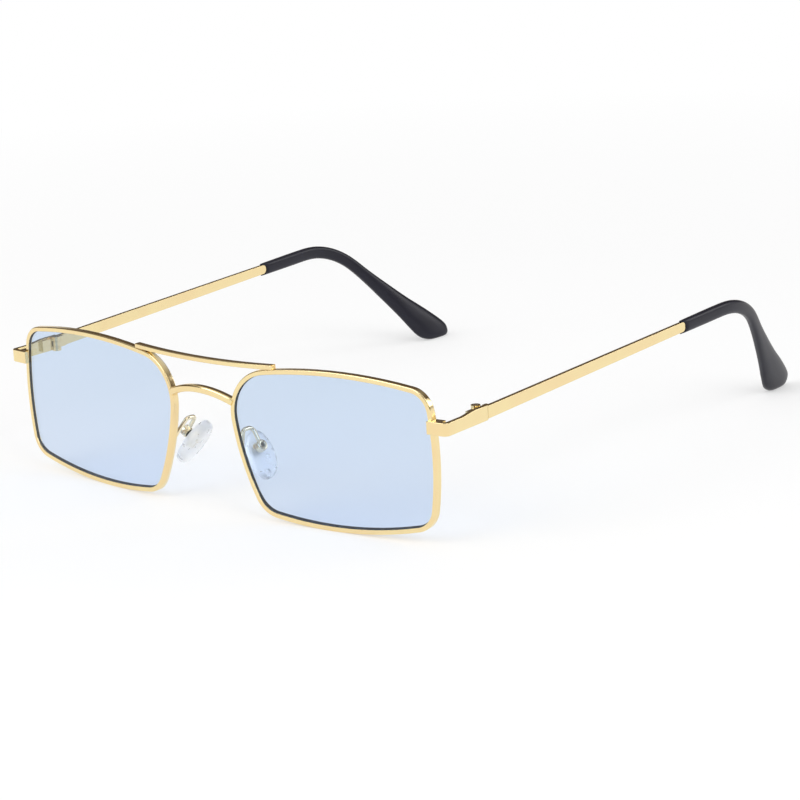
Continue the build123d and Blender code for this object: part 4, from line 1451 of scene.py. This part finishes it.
class SUNGLASSES_OT_make_pad_arms(bpy.types.Operator):
    """Make the bent wires that run from the rims to the pad boxes"""

    bl_idname = "sunglasses.make_pad_arms"
    bl_label = "Pad arms"

    def execute(self, context):
        rims = context.scene.sunglasses_rims
        pads = context.scene.sunglasses_pads
        opening = Opening(rims)
        root_v = pads.arm_root_z - opening.centre_z
        nose_side, radius = opening.sides[3]
        outer_u = nose_side.x - sqrt((radius + rims.width) ** 2 - (root_v - nose_side.y) ** 2)
        plane = Vector((0, rims.plane_y, 0))
        points = [
            opening.place @ Vector((outer_u + pads.arm_root_sink, root_v, -pads.arm_root_back)),
            Vector(pads.arm_first_bend) + plane,
            Vector(pads.arm_second_bend) + plane,
            cup_frame(rims, pads) @ Vector((pads.box_grip, 0, 0)),
        ]
        shape = self.bent_wire(points, pads.arm_bend_radius, pads.arm_radius)
        make_pair(shape, "pad_wire", "gold_metal", FRONT_BODIES, "pad_arm")
        return {"FINISHED"}

    def bent_wire(self, points, bend_radius, wire_radius):
        """A round wire along straight runs joined by tangent bends."""
        shape = bmesh.new()
        start = points[0]
        turn = (points[1] - start).to_track_quat("Z", "Y").to_matrix().to_4x4()
        place = Matrix.Translation(start) @ turn
        bmesh.ops.create_circle(
            shape, cap_ends=True, segments=WIRE_SIDES, radius=wire_radius, matrix=place
        )
        edges = shape.edges[:]
        for before, corner, after in zip(points, points[1:], points[2:]):
            arrive = (corner - before).normalized()
            leave = (after - corner).normalized()
            angle = arrive.angle(leave)
            bend_start = corner - arrive * bend_radius * tan(angle / 2)
            edges = extrude_edges(shape, edges, Matrix.Translation(bend_start - start))
            axis = arrive.cross(leave).normalized()
            centre = bend_start + axis.cross(arrive) * bend_radius
            edges = spin(shape, edges, centre, axis, angle, BEND_STEPS)
            start = corner + leave * bend_radius * tan(angle / 2)
        edges = extrude_edges(shape, edges, Matrix.Translation(points[-1] - start))
        bmesh.ops.holes_fill(shape, edges=edges, sides=0)
        return shape


# The floor's faint grain, and the warmer patches that metal mirrors: noise values where they fade in
FLOOR_GRAIN_SCALE = 30.0
FLOOR_GRAIN_SHARE = 0.02
TONE_SCALE = 4.0
TONE_BAND = (0.4, 0.6)
# Distances from the middle between which the floor's shadows fade out
SHADOW_BAND = (0.2, 0.5)
# Upward share of a ray's direction where the mirrored ceiling, and what is overhead, fade in
CEILING_BAND = (0.04, 0.16)
OVERHEAD_BAND = (0.55, 0.85)
# The soft lamps: name, place, side and share of the lamp power, and the point they all face
LAMPS = (
    ("front_softbox", (-0.5, -1.5, 1.0), 1.2, 1.0),
    ("side_softbox", (1.5, -0.4, 1.1), 1.0, 0.6),
    ("back_softbox", (1.15, 1.5, 0.8), 0.8, 0.4),
)
LAMP_AIM = (0, 0, 0.02)
# The camera's sensor in millimetres, and the distances that it sees between
SENSOR_WIDTH = 36.0
CLIP_START = 0.01
CLIP_END = 100.0


class SUNGLASSES_OT_make_stage(bpy.types.Operator):
    """Make the floor, the room's light, the lamp and the camera"""

    bl_idname = "sunglasses.make_stage"
    bl_label = "Stage"

    def execute(self, context):
        stage = context.scene.sunglasses_stage
        self.make_floor(stage)
        self.make_world(context.scene, stage)
        self.make_lamps(context.scene, stage)
        self.make_camera(context.scene, stage)
        context.scene.view_settings.view_transform = "Standard"
        return {"FINISHED"}

    def make_floor(self, stage):
        """A pale floor that catches soft shadows."""
        mesh = bpy.data.meshes.new("floor")
        shape = bmesh.new()
        bmesh.ops.create_grid(shape, x_segments=1, y_segments=1, size=stage.floor_size / 2)
        shape.to_mesh(mesh)
        shape.free()
        floor = bpy.data.objects.new("floor", mesh)
        bpy.context.scene.collection.objects.link(floor)
        material, shader, output = new_material("pale_floor")
        place = shader.object_coordinates()
        grain = shader.math("MULTIPLY", shader.noise(place, FLOOR_GRAIN_SCALE), FLOOR_GRAIN_SHARE)
        colour = shader.mix_colour(grain, tuple(stage.floor_colour), WHITE)
        lit = shader.node("ShaderNodeBsdfDiffuse", Color=colour)
        path = shader.node("ShaderNodeLightPath").outputs
        drift = shader.range(shader.noise(place, TONE_SCALE, detail=1.0), *TONE_BAND, 0.0, 1.0)
        mirrored = shader.math(
            "SUBTRACT", path["Is Glossy Ray"], path["Is Transmission Ray"], clamp=True
        )
        warmth = shader.math("MULTIPLY", drift, mirrored)
        tone = shader.mix_colour(warmth, WHITE, tuple(stage.mirrored_tone))
        white = shader.node("ShaderNodeEmission", Color=tone, Strength=1.0)
        # Eyes and mirrors see the floor white, with a share of its shadows near the middle
        mirror = shader.math("MAXIMUM", path["Is Glossy Ray"], path["Is Transmission Ray"])
        seen = shader.math("MAXIMUM", path["Is Camera Ray"], mirror)
        distance = shader.node("ShaderNodeVectorMath", {"operation": "LENGTH"})
        shader.set(distance, 0, place)
        shadows = shader.range(distance.outputs["Value"], *SHADOW_BAND, stage.shadow_share, 0.0)
        white_share = shader.math("MULTIPLY", seen, shader.math("SUBTRACT", 1.0, shadows))
        mix = shader.mix_shaders(white_share, lit, white)
        shader.set(output, "Surface", mix.outputs[0])
        mesh.materials.append(material)

    def make_world(self, scene, stage):
        """A room of even light, which metal sees with a darker ceiling and the eye sees white."""
        world = bpy.data.worlds.new("room")
        world.use_nodes = True
        shader = Shader(world.node_tree)
        direction = shader.node("ShaderNodeTexCoord").outputs["Generated"]
        up = shader.node("ShaderNodeSeparateXYZ", Vector=direction).outputs["Z"]
        above = shader.range(up, *CEILING_BAND, 0.0, 1.0)
        mirrored = shader.mix_colour(above, WHITE, tuple(stage.ceiling_colour))
        overhead = shader.range(up, *OVERHEAD_BAND, 0.0, 1.0)
        mirrored = shader.mix_colour(overhead, mirrored, tuple(stage.overhead_colour))
        plain = shader.node("ShaderNodeBackground", Color=WHITE, Strength=stage.room_strength)
        backdrop = shader.node("ShaderNodeBackground", Color=WHITE, Strength=1.0)
        ceiling = shader.node("ShaderNodeBackground", Color=mirrored, Strength=1.0)
        path = shader.node("ShaderNodeLightPath").outputs
        through = shader.math("MAXIMUM", path["Is Camera Ray"], path["Is Transmission Ray"])
        with_mirror = shader.mix_shaders(path["Is Glossy Ray"], plain, ceiling)
        with_eye = shader.mix_shaders(through, with_mirror, backdrop)
        output = shader.node("ShaderNodeOutputWorld", Surface=with_eye.outputs[0])
        output.is_active_output = True
        scene.world = world

    def make_lamps(self, scene, stage):
        """Square soft lamps that face the sunglasses."""
        for name, place, size, share in LAMPS:
            lamp = bpy.data.lights.new(name, "AREA")
            lamp.shape = "SQUARE"
            lamp.size = size
            lamp.energy = stage.lamp_power * share
            held = bpy.data.objects.new(name, lamp)
            facing = (Vector(LAMP_AIM) - Vector(place)).to_track_quat("-Z", "Y")
            held.matrix_world = Matrix.Translation(place) @ facing.to_matrix().to_4x4()
            scene.collection.objects.link(held)

    def make_camera(self, scene, stage):
        """A camera with a long lens, turned and tilted about its target."""
        camera = bpy.data.cameras.new("camera")
        camera.lens = stage.lens
        camera.sensor_width = SENSOR_WIDTH
        camera.clip_start = CLIP_START
        camera.clip_end = CLIP_END
        camera.dof.use_dof = False
        held = bpy.data.objects.new("camera", camera)
        turn = (
            Matrix.Rotation(stage.azimuth, 4, "Z")
            @ Matrix.Rotation(radians(90) - stage.elevation, 4, "X")
            @ Matrix.Rotation(stage.roll, 4, "Z")
        )
        backwards = turn.to_3x3() @ Vector((0, 0, 1))
        place = Vector(stage.target) + backwards * stage.distance
        held.matrix_world = Matrix.Translation(place) @ turn
        scene.collection.objects.link(held)
        scene.camera = held


class SUNGLASSES_PT_panel(bpy.types.Panel):
    """Lists the finishes, the stage and the steps that make the sunglasses"""

    bl_idname = "SUNGLASSES_PT_panel"
    bl_label = "Sunglasses"
    bl_space_type = "VIEW_3D"
    bl_region_type = "UI"
    bl_category = "Sunglasses"

    def draw(self, context):
        for operator in OPERATORS:
            self.layout.operator(operator.bl_idname)
        for group in PROPERTY_GROUPS:
            box = self.layout.box()
            box.label(text=group.__doc__)
            values = getattr(context.scene, PROPERTY_GROUPS[group])
            for name in group.__annotations__:
                box.prop(values, name)


PROPERTY_GROUPS = {
    SunglassesRims: "sunglasses_rims",
    SunglassesBars: "sunglasses_bars",
    SunglassesEndpieces: "sunglasses_endpieces",
    SunglassesTemples: "sunglasses_temples",
    SunglassesPads: "sunglasses_pads",
    SunglassesFinishes: "sunglasses_finishes",
    SunglassesStage: "sunglasses_stage",
}
OPERATORS = (
    SUNGLASSES_OT_make_finishes,
    SUNGLASSES_OT_make_rims,
    SUNGLASSES_OT_make_lenses,
    SUNGLASSES_OT_make_bars,
    SUNGLASSES_OT_make_endpieces,
    SUNGLASSES_OT_make_temples,
    SUNGLASSES_OT_make_tips,
    SUNGLASSES_OT_make_pad_arms,
    SUNGLASSES_OT_make_pad_cups,
    SUNGLASSES_OT_make_pads,
    SUNGLASSES_OT_make_stage,
)


def register():
    for group, name in PROPERTY_GROUPS.items():
        bpy.utils.register_class(group)
        setattr(bpy.types.Scene, name, PointerProperty(type=group))
    for operator in OPERATORS:
        bpy.utils.register_class(operator)
    bpy.utils.register_class(SUNGLASSES_PT_panel)


def unregister():
    bpy.utils.unregister_class(SUNGLASSES_PT_panel)
    for operator in reversed(OPERATORS):
        bpy.utils.unregister_class(operator)
    for group, name in PROPERTY_GROUPS.items():
        delattr(bpy.types.Scene, name)
        bpy.utils.unregister_class(group)


def main():
    register()
    bpy.ops.sunglasses.make_finishes()
    bpy.ops.sunglasses.make_rims()
    bpy.ops.sunglasses.make_lenses()
    bpy.ops.sunglasses.make_bars()
    bpy.ops.sunglasses.make_endpieces()
    bpy.ops.sunglasses.make_temples()
    bpy.ops.sunglasses.make_tips()
    bpy.ops.sunglasses.make_pad_arms()
    bpy.ops.sunglasses.make_pad_cups()
    bpy.ops.sunglasses.make_pads()
    bpy.ops.sunglasses.make_stage()
    bpy.context.view_layer.update()


if __name__ == "__main__":
    main()
